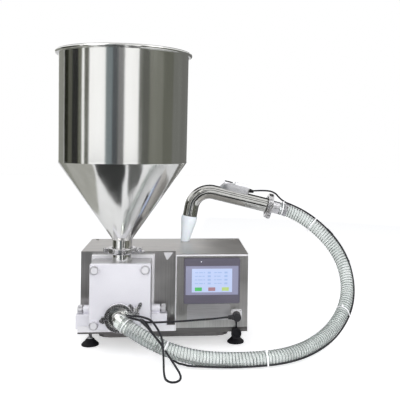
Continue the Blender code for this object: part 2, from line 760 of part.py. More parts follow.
def levelling_feet():
    """Rubber pads moulded on a steel stem, with a lock nut under the base."""
    top = BASE_UNDERSIDE - GAP
    profile = ((0, 0), (FOOT_RADIUS, 0), (FOOT_RADIUS, FOOT_RIM),
               (FOOT_NECK_RADIUS, FOOT_NECK_HEIGHT), (FOOT_COLLAR_RADIUS, FOOT_COLLAR_HEIGHT),
               (FOOT_STEM_RADIUS, FOOT_STEM_HEIGHT),
               (FOOT_STEM_RADIUS, top - FOOT_NUT_HEIGHT),
               (FOOT_NUT_RADIUS, top - FOOT_NUT_HEIGHT), (FOOT_NUT_RADIUS, top), (0, top))
    mesh = turned_mesh("levelling_foot", profile[::-1], KNOB_STEPS)
    spots = {"front_left": (-1, FOOT_FRONT), "front_right": (1, FOOT_FRONT),
             "rear_left": (-1, REAR_FOOT), "rear_right": (1, REAR_FOOT)}
    for corner, (side, y) in spots.items():
        foot = part(f"levelling_foot_{corner}", mesh, "black_rubber")
        place(foot, (side * (CABINET_RIGHT - FOOT_INSET_X), y, 0))


def mount_plate():
    """The plate on the recess face that the pump head is clamped against."""
    plate = box_part("mount_plate", (PUMP_X - PLATE_WIDTH / 2, PLATE_FRONT, WALL_BOTTOM),
                     (PUMP_X + PLATE_WIDTH / 2, PLATE_BACK, PLATE_TOP),
                     "satin_stainless", EDGE)
    for name, x in (("drive", DRIVE_X), ("idler", IDLER_X)):
        cut(plate, rod_tool(f"plate_bore_{name}", (x, PLATE_FRONT - OVERRUN, SHAFT_HEIGHT),
                            Y_AXIS, SHAFT_RADIUS + 2 * SHAFT_CLEARANCE,
                            PLATE_BACK - PLATE_FRONT + 2 * OVERRUN, SMALL_STEPS))


def rotor_case():
    """The pump block: rotor chamber, inlet on top and a port that leads to the cover."""
    case = box_part("rotor_case", (PUMP_X - PUMP_WIDTH / 2, CASE_FRONT, PUMP_BOTTOM),
                    (PUMP_X + PUMP_WIDTH / 2, CASE_BACK, PUMP_TOP), "satin_stainless", EDGE)
    top = NECK_CLAMP_HEIGHT - FERRULE_SEAT
    pipe = ferrule_profile(NECK_RADIUS, top, PUMP_TOP - SHEET)
    join(case, place(tool("inlet_ferrule", turned_mesh("inlet_ferrule", pipe)),
                     (PUMP_X, INLET_Y, 0)))
    cut(case, rod_tool("inlet_bore", (PUMP_X, INLET_Y, SHAFT_HEIGHT), Z_AXIS, INLET_BORE,
                       top - SHAFT_HEIGHT + OVERRUN, turned=True))
    for name, x in (("drive", DRIVE_X), ("idler", IDLER_X)):
        cut(case, rod_tool(f"chamber_{name}", (x, CASE_FRONT - OVERRUN, SHAFT_HEIGHT), Y_AXIS,
                           CHAMBER_RADIUS, CHAMBER_BACK - CASE_FRONT + OVERRUN, WIDE_STEPS))
        cut(case, rod_tool(f"seal_bore_{name}",
                           (x, CASE_BACK - SEAL_LENGTH - GAP, SHAFT_HEIGHT), Y_AXIS,
                           SEAL_RADIUS + GAP, SEAL_LENGTH + GAP + OVERRUN, SMALL_STEPS))
        cut(case, rod_tool(f"shaft_bore_{name}", (x, CHAMBER_BACK - OVERRUN, SHAFT_HEIGHT),
                           Y_AXIS, SHAFT_RADIUS + SHAFT_CLEARANCE,
                           CASE_REAR_WALL + 2 * OVERRUN, SMALL_STEPS))
    port_back = (CHAMBER_BACK + CASE_FRONT) / 2 + PORT_RADIUS
    port_height = SHAFT_HEIGHT - PORT_HEIGHT + PORT_RADIUS
    port = sheet_mesh("outlet_port", [rounded_outline(
        2 * PORT_RADIUS, port_height, PORT_RADIUS - GAP, steps=5)],
        port_back - CASE_FRONT + OVERRUN)
    cut(case, place(tool("outlet_port", port),
                    (PUMP_X, CASE_FRONT - OVERRUN, SHAFT_HEIGHT - port_height / 2),
                    Y_AXIS, X_AXIS))
    groove = sheet_mesh("gasket_groove", gasket_outlines(GAP), GASKET_DEPTH + OVERRUN)
    cut(case, place(tool("gasket_groove", groove),
                    (PUMP_X, CASE_FRONT - OVERRUN, PUMP_MIDDLE), Y_AXIS, X_AXIS))
    for name, x, z in knob_spots():
        cut(case, rod_tool(f"case_screw_hole_{name}", (x, CASE_FRONT - OVERRUN, z), Y_AXIS,
                           KNOB_SCREW_RADIUS + GAP,
                           KNOB_SCREW_LENGTH - COVER_THICKNESS + 2 * OVERRUN,
                           SMALL_STEPS))


def gasket_outlines(spare):
    """The ring's outer and inner outline, its corners cut off inside the cover's screws."""
    outlines = []
    slope = math.hypot(GASKET_CUT_X, GASKET_CUT_Z)
    for inset in (GASKET_INSET - spare, GASKET_INSET + GASKET_WIDTH + spare):
        x = PUMP_WIDTH / 2 - inset
        z = PUMP_HEIGHT / 2 - inset
        depth = inset - GASKET_INSET
        cut_x = GASKET_CUT_X - depth * (1 - (slope - GASKET_CUT_X) / GASKET_CUT_Z)
        cut_z = GASKET_CUT_Z - depth * (1 - (slope - GASKET_CUT_Z) / GASKET_CUT_X)
        outlines.append([(x, z - cut_z), (x - cut_x, z), (cut_x - x, z), (-x, z - cut_z),
                         (-x, cut_z - z), (cut_x - x, -z), (x - cut_x, -z), (x, cut_z - z)])
    return outlines


def cover_gasket():
    """The moulded seal between the rotor case and its cover."""
    mesh = sheet_mesh("cover_gasket", gasket_outlines(0), GASKET_DEPTH - GAP)
    place(part("cover_gasket", mesh, "white_silicone", smooth=False),
          (PUMP_X, CASE_FRONT, PUMP_MIDDLE), Y_AXIS, X_AXIS)


def knob_spots():
    half_width = PUMP_WIDTH / 2 - KNOB_INSET
    half_height = PUMP_HEIGHT / 2 - KNOB_INSET
    spots = []
    for row, up in (("upper", 1), ("lower", -1)):
        for side, across in (("left", -1), ("right", 1)):
            spots.append((f"{row}_{side}", PUMP_X + across * half_width,
                          PUMP_MIDDLE + up * half_height))
    return spots


def pump_cover():
    """The front plate with the outlet pipe welded on low in its middle."""
    cover = box_part("pump_cover", (PUMP_X - PUMP_WIDTH / 2, PUMP_FRONT, PUMP_BOTTOM),
                     (PUMP_X + PUMP_WIDTH / 2, COVER_BACK, PUMP_TOP), "satin_stainless", EDGE)
    pipe = ferrule_profile(OUTLET_PIPE_RADIUS, OUTLET_LENGTH, -SHEET)
    join(cover, place(tool("outlet_ferrule", turned_mesh("outlet_ferrule", pipe)),
                      (PUMP_X, PUMP_FRONT, PORT_HEIGHT), -Y_AXIS))
    cut(cover, rod_tool("outlet_bore",
                        (PUMP_X, PUMP_FRONT - OUTLET_LENGTH - OVERRUN, PORT_HEIGHT), Y_AXIS,
                        OUTLET_PIPE_RADIUS - PIPE_WALL,
                        OUTLET_LENGTH + COVER_THICKNESS + 2 * OVERRUN, turned=True))
    for name, x, z in knob_spots():
        cut(cover, rod_tool(f"cover_hole_{name}", (x, PUMP_FRONT - OVERRUN, z), Y_AXIS,
                            KNOB_SCREW_RADIUS + GAP, COVER_THICKNESS + 2 * OVERRUN,
                            SMALL_STEPS))


def cover_knobs():
    """Round thumb screws that draw the cover on to the case."""
    head = -KNOB_LENGTH
    profile = ((0, KNOB_SCREW_LENGTH), (KNOB_SCREW_RADIUS, KNOB_SCREW_LENGTH),
               (KNOB_SCREW_RADIUS, -GAP), (KNOB_RADIUS, -GAP), (KNOB_RADIUS, head + EDGE),
               (KNOB_RADIUS - EDGE, head), (0, head))
    mesh = turned_mesh("cover_knob", profile, KNOB_STEPS)
    for name, x, z in knob_spots():
        place(part(f"cover_knob_{name}", mesh, "polished_stainless"), (x, PUMP_FRONT, z),
              Y_AXIS)


def lobe_outline():
    """Three lobes whose tips and valleys are cycloids, so that two of them roll together."""
    roller = PITCH_RADIUS / (2 * LOBES)
    steps = 2 * LOBE_STEPS
    points = []
    for half in range(2 * LOBES):
        start = math.pi / LOBES * (half - 1 / 2)
        outer = half % 2 == 0
        sign = 1 if outer else -1
        for step in range(steps):
            turn = math.tau * step / steps
            angle = start + turn * roller / PITCH_RADIUS
            arm = PITCH_RADIUS + sign * roller
            x = arm * math.cos(angle) - sign * roller * math.cos(angle + sign * turn)
            y = arm * math.sin(angle) - sign * roller * math.sin(angle + sign * turn)
            points.append((x * LOBE_FIT_SHARE, y * LOBE_FIT_SHARE))
    return points


def circle_outline(radius, steps=ROUND_STEPS):
    return [(radius * math.cos(math.tau * step / steps),
             radius * math.sin(math.tau * step / steps)) for step in range(steps)]


def gear_outline():
    """Involute teeth, thinned a little so that the pair runs with backlash."""
    pitch = MODULE * TEETH / 2
    base = pitch * math.cos(PRESSURE_ANGLE)
    tip = pitch + MODULE
    root = pitch - DEDENDUM_SHARE * MODULE
    half_tooth = (math.pi * MODULE / 2 - GEAR_BACKLASH) / (2 * pitch)
    lean = math.tan(PRESSURE_ANGLE) - PRESSURE_ANGLE
    start = max(base, root)
    flank = []
    for step in range(FLANK_STEPS + 1):
        radius = start + (tip - start) * step / FLANK_STEPS
        roll = math.acos(base / radius)
        flank.append((radius, half_tooth + lean - (math.tan(roll) - roll)))
    points = []
    for tooth in range(TEETH):
        middle = math.tau * tooth / TEETH
        side = [(root, half_tooth + lean), *flank]
        for radius, away in side:
            points.append((radius, middle - away))
        for radius, away in reversed(side):
            points.append((radius, middle + away))
    return [(radius * math.cos(angle), radius * math.sin(angle)) for radius, angle in points]


def turning_set():
    """Two rotors and two timing gears on their shafts, with seals and bearings."""
    rotor_back = CHAMBER_BACK - ROTOR_REAR_GAP
    rotor_front = rotor_back - ROTOR_LENGTH
    cap_front = rotor_front - GAP - SHAFT_CAP_LENGTH
    ends = {"drive": FLANGE_BACK + WORM_BOX_DEPTH / 2, "idler": GEAR_FRONT + GEAR_WIDTH + EDGE}
    bearing_front = GEAR_WALL_BACK - BEARING_LENGTH
    for name, x in (("drive", DRIVE_X), ("idler", IDLER_X)):
        axis = (x, 0, SHAFT_HEIGHT)
        bore = circle_outline(SHAFT_RADIUS + GAP, SMALL_STEPS)
        rotor = sheet_mesh(f"rotor_{name}", [lobe_outline(), bore], ROTOR_LENGTH)
        place(part(f"rotor_{name}", rotor, "polished_stainless"),
              (x, rotor_front, SHAFT_HEIGHT), Y_AXIS, X_AXIS)
        gear = sheet_mesh(f"timing_gear_{name}", [gear_outline(), bore], GEAR_WIDTH)
        place(part(f"timing_gear_{name}", gear, "gear_steel", smooth=False),
              (x, GEAR_FRONT, SHAFT_HEIGHT), Y_AXIS, X_AXIS)
        profile = ((0, cap_front), (SHAFT_CAP_RADIUS - 2 * EDGE, cap_front),
                   (SHAFT_CAP_RADIUS, cap_front + 2 * EDGE),
                   (SHAFT_CAP_RADIUS, rotor_front - GAP), (SHAFT_RADIUS, rotor_front - GAP),
                   (SHAFT_RADIUS, ends[name]), (0, ends[name]))
        shaft = turned_mesh(f"shaft_{name}", profile[::-1], SMALL_STEPS)
        place(part(f"shaft_{name}", shaft, "gear_steel"), axis, Y_AXIS)
        sleeve(f"shaft_seal_{name}", x, CASE_BACK - SEAL_LENGTH, SEAL_RADIUS, SEAL_LENGTH - GAP,
               "black_rubber")
        sleeve(f"bearing_{name}", x, bearing_front + GAP, BEARING_RADIUS,
               BEARING_LENGTH - GAP, "gear_steel")


def sleeve(name, x, front, radius, length, material):
    inner = SHAFT_RADIUS + SHAFT_CLEARANCE
    profile = ((inner, 0), (radius, 0), (radius, length), (inner, length))
    mesh = turned_mesh(name, profile[::-1], SMALL_STEPS)
    place(part(name, mesh, material), (x, front, SHAFT_HEIGHT), Y_AXIS)


def gear_housing():
    """The cast case for the timing gears, bolted behind the recess face."""
    low = (PUMP_X - GEARBOX_WIDTH / 2, GEAR_CASE_FRONT, SHAFT_HEIGHT - GEAR_CASE_HEIGHT / 2)
    high = (PUMP_X + GEARBOX_WIDTH / 2, GEAR_CASE_BACK, SHAFT_HEIGHT + GEAR_CASE_HEIGHT / 2)
    case = box_part("gear_housing", low, high, "cast_aluminium", EDGE)
    cavity = sheet_mesh("gear_cavity", [rounded_outline(
        GEAR_CAVITY_WIDTH, GEAR_CAVITY_HEIGHT, GEAR_CAVITY_HEIGHT / 2 - EDGE, steps=6)],
        GEAR_CASE_DEPTH - GEAR_CASE_FRONT_WALL + OVERRUN)
    cut(case, place(tool("gear_cavity", cavity), (PUMP_X, GEAR_WALL_BACK, SHAFT_HEIGHT),
                    Y_AXIS, X_AXIS))
    for name, x in (("drive", DRIVE_X), ("idler", IDLER_X)):
        cut(case, rod_tool(f"bearing_seat_{name}",
                           (x, GEAR_WALL_BACK - BEARING_LENGTH, SHAFT_HEIGHT), Y_AXIS,
                           BEARING_RADIUS + GAP, BEARING_LENGTH + OVERRUN, SMALL_STEPS))
        cut(case, rod_tool(f"housing_bore_{name}",
                           (x, GEAR_CASE_FRONT - OVERRUN, SHAFT_HEIGHT), Y_AXIS,
                           SHAFT_RADIUS + SHAFT_CLEARANCE,
                           GEAR_CASE_FRONT_WALL + 2 * OVERRUN))


def gearmotor():
    """A hollow-shaft worm gearbox with its flange, and the finned motor on its side."""
    low = (PUMP_X - GEARBOX_WIDTH / 2, FLANGE_FRONT, SHAFT_HEIGHT - GEAR_CASE_HEIGHT / 2)
    high = (PUMP_X + GEARBOX_WIDTH / 2, FLANGE_BACK, SHAFT_HEIGHT + GEAR_CASE_HEIGHT / 2)
    gearbox = box_part("worm_gearbox", low, high, "cast_aluminium", EDGE)
    worm_height = SHAFT_HEIGHT - WORM_CENTRES
    box_top = worm_height - MOTOR_FLANGE_RADIUS / 2 + WORM_BOX_HEIGHT
    body = box_tool("worm_body",
                    (DRIVE_X - WORM_BOX_WIDTH / 2, FLANGE_BACK - FLANGE_THICKNESS / 2,
                     box_top - WORM_BOX_HEIGHT),
                    (DRIVE_X + WORM_BOX_WIDTH / 2, FLANGE_BACK + WORM_BOX_DEPTH, box_top))
    bevel(body, 2 * EDGE)
    join(gearbox, body)
    cut(gearbox, rod_tool("gearbox_bore", (DRIVE_X, FLANGE_FRONT - OVERRUN, SHAFT_HEIGHT),
                          Y_AXIS, SHAFT_RADIUS + SHAFT_CLEARANCE,
                          FLANGE_THICKNESS + WORM_BOX_DEPTH + 2 * OVERRUN, SMALL_STEPS))
    profile = [(0, 0), (MOTOR_FLANGE_RADIUS, 0), (MOTOR_FLANGE_RADIUS, MOTOR_FLANGE_LENGTH)]
    fin = (MOTOR_LENGTH - MOTOR_FLANGE_LENGTH) / (2 * MOTOR_FINS + 1)
    for number in range(2 * MOTOR_FINS + 1):
        radius = MOTOR_RADIUS if number % 2 else MOTOR_RADIUS - MOTOR_FIN_DEPTH
        start = MOTOR_FLANGE_LENGTH + fin * number
        profile += [(radius, start), (radius, start + fin)]
    profile.append((0, MOTOR_LENGTH))
    spot = (DRIVE_X + WORM_BOX_WIDTH / 2 + GAP, FLANGE_BACK + WORM_BOX_DEPTH / 2, worm_height)
    motor = turned_mesh("drive_motor", profile[::-1], SMALL_STEPS)
    place(part("drive_motor", motor, "painted_motor"), spot, X_AXIS)


def motor_driver():
    """The motor's speed driver and supply, a closed box on the right wall inside."""
    right = CABINET_RIGHT - SHEET - GAP
    box_part("motor_driver", (right - DRIVER_THICKNESS, DRIVER_FRONT, DRIVER_BOTTOM),
             (right, DRIVER_FRONT + DRIVER_LENGTH, DRIVER_BOTTOM + DRIVER_HEIGHT),
             "cast_aluminium", EDGE)


def side_clamps():
    """Blocks beside the pump with a boss each, and hand screws that press on its sides."""
    for side, sign in (("left", -1), ("right", 1)):
        face = PUMP_X + sign * (PUMP_WIDTH / 2 + GAP)
        out = face + sign * BLOCK_WIDTH
        block = box_part(f"side_block_{side}",
                         (min(face, out), BLOCK_FRONT, WALL_BOTTOM),
                         (max(face, out), BLOCK_FRONT + BLOCK_DEPTH, BLOCK_TOP),
                         "satin_stainless", EDGE)
        away = X_AXIS * sign
        boss_start = Vector((face + sign * 2 * GAP, BLOCK_MIDDLE_Y, BOSS_HEIGHT))
        join(block, rod_tool(f"side_boss_{side}", boss_start, away, BOSS_RADIUS, BOSS_LENGTH))
        boss_end = boss_start + away * BOSS_LENGTH
        join(block, box_tool(f"side_web_{side}",
                             (min(boss_start.x, boss_end.x), BLOCK_MIDDLE_Y - BOSS_RADIUS / 2,
                              BLOCK_TOP - 2 * EDGE),
                             (max(boss_start.x, boss_end.x), BLOCK_MIDDLE_Y + BOSS_RADIUS / 2,
                              BOSS_HEIGHT)))
        cut(block, rod_tool(f"side_bore_{side}", boss_start - away * OVERRUN, away,
                            SIDE_SCREW_RADIUS + GAP, BOSS_LENGTH + 2 * OVERRUN, SMALL_STEPS))
        neck = BOSS_LENGTH + 2 * GAP
        knob = neck + SIDE_NECK_LENGTH
        end = knob + SIDE_KNOB_LENGTH
        cut(block, rod_tool(f"side_relief_{side}", boss_start + away * (neck - GAP), away,
                            SIDE_KNOB_RADIUS + EDGE, BLOCK_WIDTH))
        profile = ((0, end), (SIDE_KNOB_RADIUS - EDGE, end), (SIDE_KNOB_RADIUS, end - EDGE),
                   (SIDE_KNOB_RADIUS, knob), (SIDE_SCREW_RADIUS, knob),
                   (SIDE_SCREW_RADIUS, 0), (0, 0))
        screw = turned_mesh(f"side_screw_{side}", profile, KNOB_STEPS)
        place(part(f"side_screw_{side}", screw, "polished_stainless"),
              (face, BLOCK_MIDDLE_Y, BOSS_HEIGHT), away)


def ferrule_profile(pipe, face, root):
    """A pipe stub from root to face, with a sanitary flange at its face."""
    under = face - FERRULE_EDGE
    return ((0, face), (FERRULE_RADIUS, face), (FERRULE_RADIUS, under + FERRULE_SLOPE),
            (pipe, under), (pipe, root), (0, root))


def hopper():
    """One welded shell: rolled rim, drum, cone and neck with its flange."""
    face = NECK_CLAMP_HEIGHT + FERRULE_SEAT
    inner_neck = NECK_RADIUS - HOPPER_SHEET
    rim_z = HOPPER_TOP - HOPPER_RIM
    rim_x = HOPPER_RADIUS + HOPPER_RIM
    profile = [(inner_neck, face), (FERRULE_RADIUS, face),
               (FERRULE_RADIUS, face + FERRULE_EDGE - FERRULE_SLOPE),
               (NECK_RADIUS, face + FERRULE_EDGE), (NECK_RADIUS, CONE_FOOT),
               (HOPPER_FOOT_RADIUS, HOPPER_SEAM), (HOPPER_RADIUS, rim_z - HOPPER_RIM)]
    for step in range(RIM_STEPS + 2):
        angle = math.pi * (step / RIM_STEPS - 1 / 2)
        profile.append((rim_x + HOPPER_RIM * math.cos(angle),
                        rim_z + HOPPER_RIM * math.sin(angle)))
    profile += [(HOPPER_RADIUS - HOPPER_SHEET, rim_z),
                (HOPPER_FOOT_RADIUS - HOPPER_SHEET, HOPPER_SEAM), (inner_neck, CONE_FOOT)]
    mesh = turned_mesh("hopper", profile, HOPPER_STEPS)
    place(part("hopper", mesh, "polished_stainless"), (PUMP_X, INLET_Y, 0))


def clamp_ring_profile():
    half = CLAMP_WIDTH / 2
    seat = FERRULE_EDGE + GAP
    inner = FERRULE_RADIUS - FERRULE_SLOPE
    groove = FERRULE_RADIUS + 2 * GAP
    return ((inner, half), (CLAMP_RADIUS, half), (CLAMP_RADIUS, -half), (inner, -half),
            (inner, -seat), (groove, -seat), (groove, seat), (inner, seat))


def clamp_half(name, sign, centre, axis, ear, bolt_end=0.0):
    """Half a hinged clamp: its hinge arm lies opposite the ear, the bolt runs across.

    A half that is given an end for the bolt carries it fixed in its own ear.
    """
    ring = part(name, turned_mesh(name, clamp_ring_profile()), "polished_stainless")
    place(ring, centre, axis, ear)
    half = CLAMP_WIDTH / 2

    def local_box(label, low, high):
        size, middle = box_between(low, high)
        return place(tool(f"{name}_{label}", box_mesh(label, size, middle)), centre, axis, ear)

    def local_rod(label, start, direction, radius, length, steps=PIN_STEPS):
        mesh = rod_mesh(label, radius, length, steps)
        turn = frame_along(direction).to_4x4()
        mesh.transform(Matrix.Translation(start) @ turn)
        return place(tool(f"{name}_{label}", mesh), centre, axis, ear)

    def band(first, second):
        return min(sign * first, sign * second), max(sign * first, sign * second)

    near, far = band(0, EAR_THICKNESS + SPLIT / 2)
    inside = CLAMP_RADIUS - 2 * EDGE
    join(ring, local_box("ear", (inside, near, EDGE - half), (EAR_REACH, far, half - EDGE)))
    lug = HINGE_WIDTH / 2 if sign < 0 else half - EDGE
    join(ring, local_box("arm", (-HINGE_REACH, near, -lug), (-inside, far, lug)))
    join(ring, local_rod("knuckle", (-HINGE_REACH, 0, -lug), Z_AXIS, HINGE_RADIUS, 2 * lug))
    low, high = band(SPLIT / 2, -EAR_REACH)
    reach = (CLAMP_RADIUS + HINGE_REACH - HINGE_RADIUS) / 2
    cut(ring, local_box("split", (-reach, low, -CLAMP_WIDTH), (2 * EAR_REACH, high, CLAMP_WIDTH)))
    if sign < 0:
        cut(ring, local_rod("pin_hole", (-HINGE_REACH, 0, -CLAMP_WIDTH), Z_AXIS,
                            HINGE_PIN_RADIUS + GAP, 2 * CLAMP_WIDTH))
    else:
        cut(ring, local_box("fork",
                            (-EAR_REACH, -2 * HINGE_RADIUS, -HINGE_WIDTH / 2 - GAP),
                            (-reach, 2 * HINGE_RADIUS, HINGE_WIDTH / 2 + GAP)))
        pin = lug - EDGE / 2
        join(ring, local_rod("pin", (-HINGE_REACH, 0, -pin), Z_AXIS, HINGE_PIN_RADIUS,
                             2 * pin))
    if bolt_end:
        join(ring, local_rod("bolt", (EAR_CENTRE, -EAR_THICKNESS, 0), Y_AXIS,
                             CLAMP_BOLT_RADIUS, EAR_THICKNESS + bolt_end))
    else:
        cut(ring, local_rod("bolt_hole", (EAR_CENTRE, -EAR_REACH, 0), Y_AXIS,
                            CLAMP_BOLT_RADIUS + GAP, 2 * EAR_REACH))


def clamp_bolt(name, centre, axis, ear):
    """The swing bolt through both ears, with a round head under the lower one."""
    seat = EAR_THICKNESS + SPLIT / 2 + GAP
    end = seat + NUT_HEIGHT + 2 * EDGE
    profile = ((0, -seat - CLAMP_BOLT_HEAD), (CLAMP_BOLT_HEAD_RADIUS, -seat - CLAMP_BOLT_HEAD),
               (CLAMP_BOLT_HEAD_RADIUS, -seat), (CLAMP_BOLT_RADIUS, -seat),
               (CLAMP_BOLT_RADIUS, end), (0, end))
    base = frame_along(axis, ear)
    spot = Vector(centre) + base @ Vector((EAR_CENTRE, 0, 0))
    bolt = turned_mesh(name, profile[::-1], PIN_STEPS)
    place(part(name, bolt, "polished_stainless"), spot, base @ Y_AXIS)


def wing_nut(name, centre, axis, ear):
    """A hub with two flat wings, turned by hand on the clamp's bolt."""
    profile = ((0, 0), (NUT_RADIUS, 0), (NUT_RADIUS - EDGE, NUT_HEIGHT), (0, NUT_HEIGHT))
    hub = part(name, turned_mesh(name, profile[::-1], SMALL_STEPS), "polished_stainless")
    base = frame_along(axis, ear)
    seat = EAR_THICKNESS + SPLIT / 2 + 2 * GAP
    spot = Vector(centre) + base @ Vector((EAR_CENTRE, seat, 0))
    along = base @ Y_AXIS
    aside = base @ X_AXIS
    place(hub, spot, along, aside)
    for side in (-1, 1):
        outline = [(side * x * WING_REACH, z * WING_HEIGHT) for x, z in WING_SHARES]
        wing = sheet_mesh("wing", [outline[::side]], WING_THICKNESS)
        wing.transform(Matrix.Translation((0, 0, -WING_THICKNESS / 2)))
        wing.transform(Matrix.Rotation(math.pi / 2, 4, "X"))
        join(hub, place(tool(f"{name}_wing_{side}", wing), spot, along, aside))
    cut(hub, rod_tool(f"{name}_bore", spot - along * OVERRUN, along, CLAMP_BOLT_RADIUS + GAP,
                      WING_HEIGHT + 2 * OVERRUN, PIN_STEPS))


def clamp(name, centre, axis, ear):
    clamp_half(f"{name}_clamp_front", 1, centre, axis, ear)
    clamp_half(f"{name}_clamp_back", -1, centre, axis, ear)
    clamp_bolt(f"{name}_clamp_bolt", centre, axis, ear)
    wing_nut(f"{name}_wing_nut", centre, axis, ear)


def outlet_elbow():
    """Flange, close bend and ribbed tail that the hose is pushed over, bored through."""
    start = Vector((PUMP_X, OUTLET_CLAMP_Y - FERRULE_SEAT, PORT_HEIGHT))
    ahead = -Y_AXIS
    heading = Vector(HOSE_HEADING).normalized()
    bend_start = start + ahead * ELBOW_STRAIGHT
    bend = arc_points(bend_start, ahead, heading, ELBOW_BEND, ELBOW_STEPS)
    bend.append(bend[-1] + heading * EDGE)
    points = [start + ahead * (FERRULE_EDGE - FERRULE_SLOPE), bend_start, *bend]
    radii = [ELBOW_RADIUS] * len(points)
    barb = barb_points(bend[-1], heading, BARB_LENGTH)
    points += [point for point, radius in barb]
    radii += [radius for point, radius in barb]
    elbow = part("outlet_elbow", tube_mesh("outlet_elbow", points, radii, 3),
                 "polished_stainless")
    flange = ((0, 0), (FERRULE_RADIUS, 0), (FERRULE_RADIUS, FERRULE_EDGE - FERRULE_SLOPE),
              (ELBOW_RADIUS + EDGE, FERRULE_EDGE), (0, FERRULE_EDGE))
    join(elbow, place(tool("elbow_flange", turned_mesh("elbow_flange", flange[::-1])), start,
                      ahead))
    way = [start - ahead * OVERRUN, bend_start, *bend,
           bend[-1] + heading * (BARB_LENGTH + OVERRUN)]
    cut(elbow, tool("elbow_bore", tube_mesh("elbow_bore", way,
                                            [BARB_RADIUS - PIPE_WALL] * len(way), 2)))
    return bend[-1], heading


def barb_points(start, heading, length):
    """A stepped tail: each ridge rises slowly and ends sharply."""
    shoulder = GAP
    found = [(start + heading * shoulder, BARB_RADIUS)]
    pitch = (length - shoulder) / BARB_RIDGES
    for number in range(BARB_RIDGES):
        low = shoulder + pitch * number
        found.append((start + heading * (low + pitch / 3), BARB_RADIUS + BARB_RIDGE))
        found.append((start + heading * (low + pitch), BARB_RADIUS))
    return found


def feed_hose(elbow_end, heading):
    """Clear hose ribbed by its wire, from the elbow round to the nozzle's tail."""
    start = elbow_end + heading * 2 * GAP
    tail_start = BARB_START + TUBE_ALONG * GAP
    route = [start + heading * HOSE_RADIUS * step for step in range(3)]
    route += [Vector(point) for point in HOSE_ROUTE]
    route += [tail_start + TUBE_ALONG * HOSE_RADIUS * step for step in (2, 1, 0)]
    points = relaxed(even_points(curve_points(route, SPAN_PARTS), 2 * HOSE_RIBS),
                     HOSE_EASING, HOSE_HELD)
    radii = [HOSE_RADIUS - HOSE_RIB * (number % 2) for number in range(2 * HOSE_RIBS)]
    hose = part("feed_hose", tube_mesh("feed_hose", points, radii, 2), "clear_pvc")
    way = even_points(points, HOSE_BORE_POINTS)
    way[0] = way[0] - (way[1] - way[0]).normalized() * OVERRUN
    way[-1] = way[-1] + (way[-1] - way[-2]).normalized() * OVERRUN
    cut(hose, tool("hose_bore", tube_mesh("hose_bore", way, [HOSE_BORE] * len(way), 2)))


def nozzle_tube():
    """Bent stainless pipe with a clamp flange at its tail, open from end to end."""
    foot = LEG_TOP - LEG_UP * (LEG_LENGTH - TIP_LENGTH + TIP_OVERLAP)
    bend = arc_points(LEG_TOP, LEG_UP, TUBE_ALONG, NOZZLE_BEND, BEND_STEPS)
    points = [foot, LEG_TOP, *bend, TUBE_END - TUBE_ALONG * FERRULE_SLOPE]
    pipe = part("nozzle_tube", tube_mesh("nozzle_tube", points,
                                         [NOZZLE_PIPE_RADIUS] * len(points), 4),
                "polished_stainless")
    flange = ((0, 0), (FERRULE_RADIUS, 0), (FERRULE_RADIUS, FERRULE_EDGE - FERRULE_SLOPE),
              (NOZZLE_PIPE_RADIUS + SHEET / 3, FERRULE_EDGE),
              (NOZZLE_PIPE_RADIUS + SHEET / 3, 2 * FERRULE_EDGE), (0, 2 * FERRULE_EDGE))
    join(pipe, place(tool("nozzle_flange", turned_mesh("nozzle_flange", flange[::-1])),
                     TUBE_END, -TUBE_ALONG))
    way = [foot - LEG_UP * OVERRUN, LEG_TOP, *bend, TUBE_END + TUBE_ALONG * OVERRUN]
    bore = NOZZLE_PIPE_RADIUS - NOZZLE_WALL
    cut(pipe, tool("nozzle_bore", tube_mesh("nozzle_bore", way, [bore] * len(way), 2)))


def loft_mesh(name, rings):
    """Join rings of points with quads; the first ring follows the last one."""
    mesh = bpy.data.meshes.new(name)
    shape = bmesh.new()
    rows = [[shape.verts.new(point) for point in ring] for ring in rings]
    for lower, upper in zip(rows, [*rows[1:], rows[0]]):
        for number in range(len(lower)):
            following = (number + 1) % len(lower)
            shape.faces.new((lower[number], lower[following], upper[following], upper[number]))
    bmesh.ops.recalc_face_normals(shape, faces=shape.faces)
    shape.to_mesh(mesh)
    shape.free()
    return mesh


def nozzle_tip():
    """White cone pushed over the pipe, cut level so that it stands on the lid."""
    across = Vector((LEG_UP.z, 0, -LEG_UP.x))
    top = TIP_FOOT + LEG_UP * TIP_LENGTH
    lip = NOZZLE_PIPE_RADIUS + GAP + TIP_WALL
    waist = top - LEG_UP * 2 * TIP_OVERLAP

    def ring(centre, radius, flat):
        side = X_AXIS if flat else across
        return [centre + side * radius * math.cos(math.tau * step / ROUND_STEPS)
                + Y_AXIS * radius * math.sin(math.tau * step / ROUND_STEPS)
                for step in range(ROUND_STEPS)]

    seat = top - LEG_UP * (TIP_OVERLAP + GAP)
    rings = [ring(TIP_FOOT, TIP_FOOT_RADIUS, True), ring(waist, lip, False),
             ring(top, lip, False), ring(top, lip - TIP_WALL, False),
             ring(seat, lip - TIP_WALL, False),
             ring(seat, NOZZLE_PIPE_RADIUS - NOZZLE_WALL, False),
             ring(TIP_FOOT, TIP_FOOT_RADIUS - TIP_WALL, True)]
    part("nozzle_tip", loft_mesh("nozzle_tip", rings), "white_plastic")


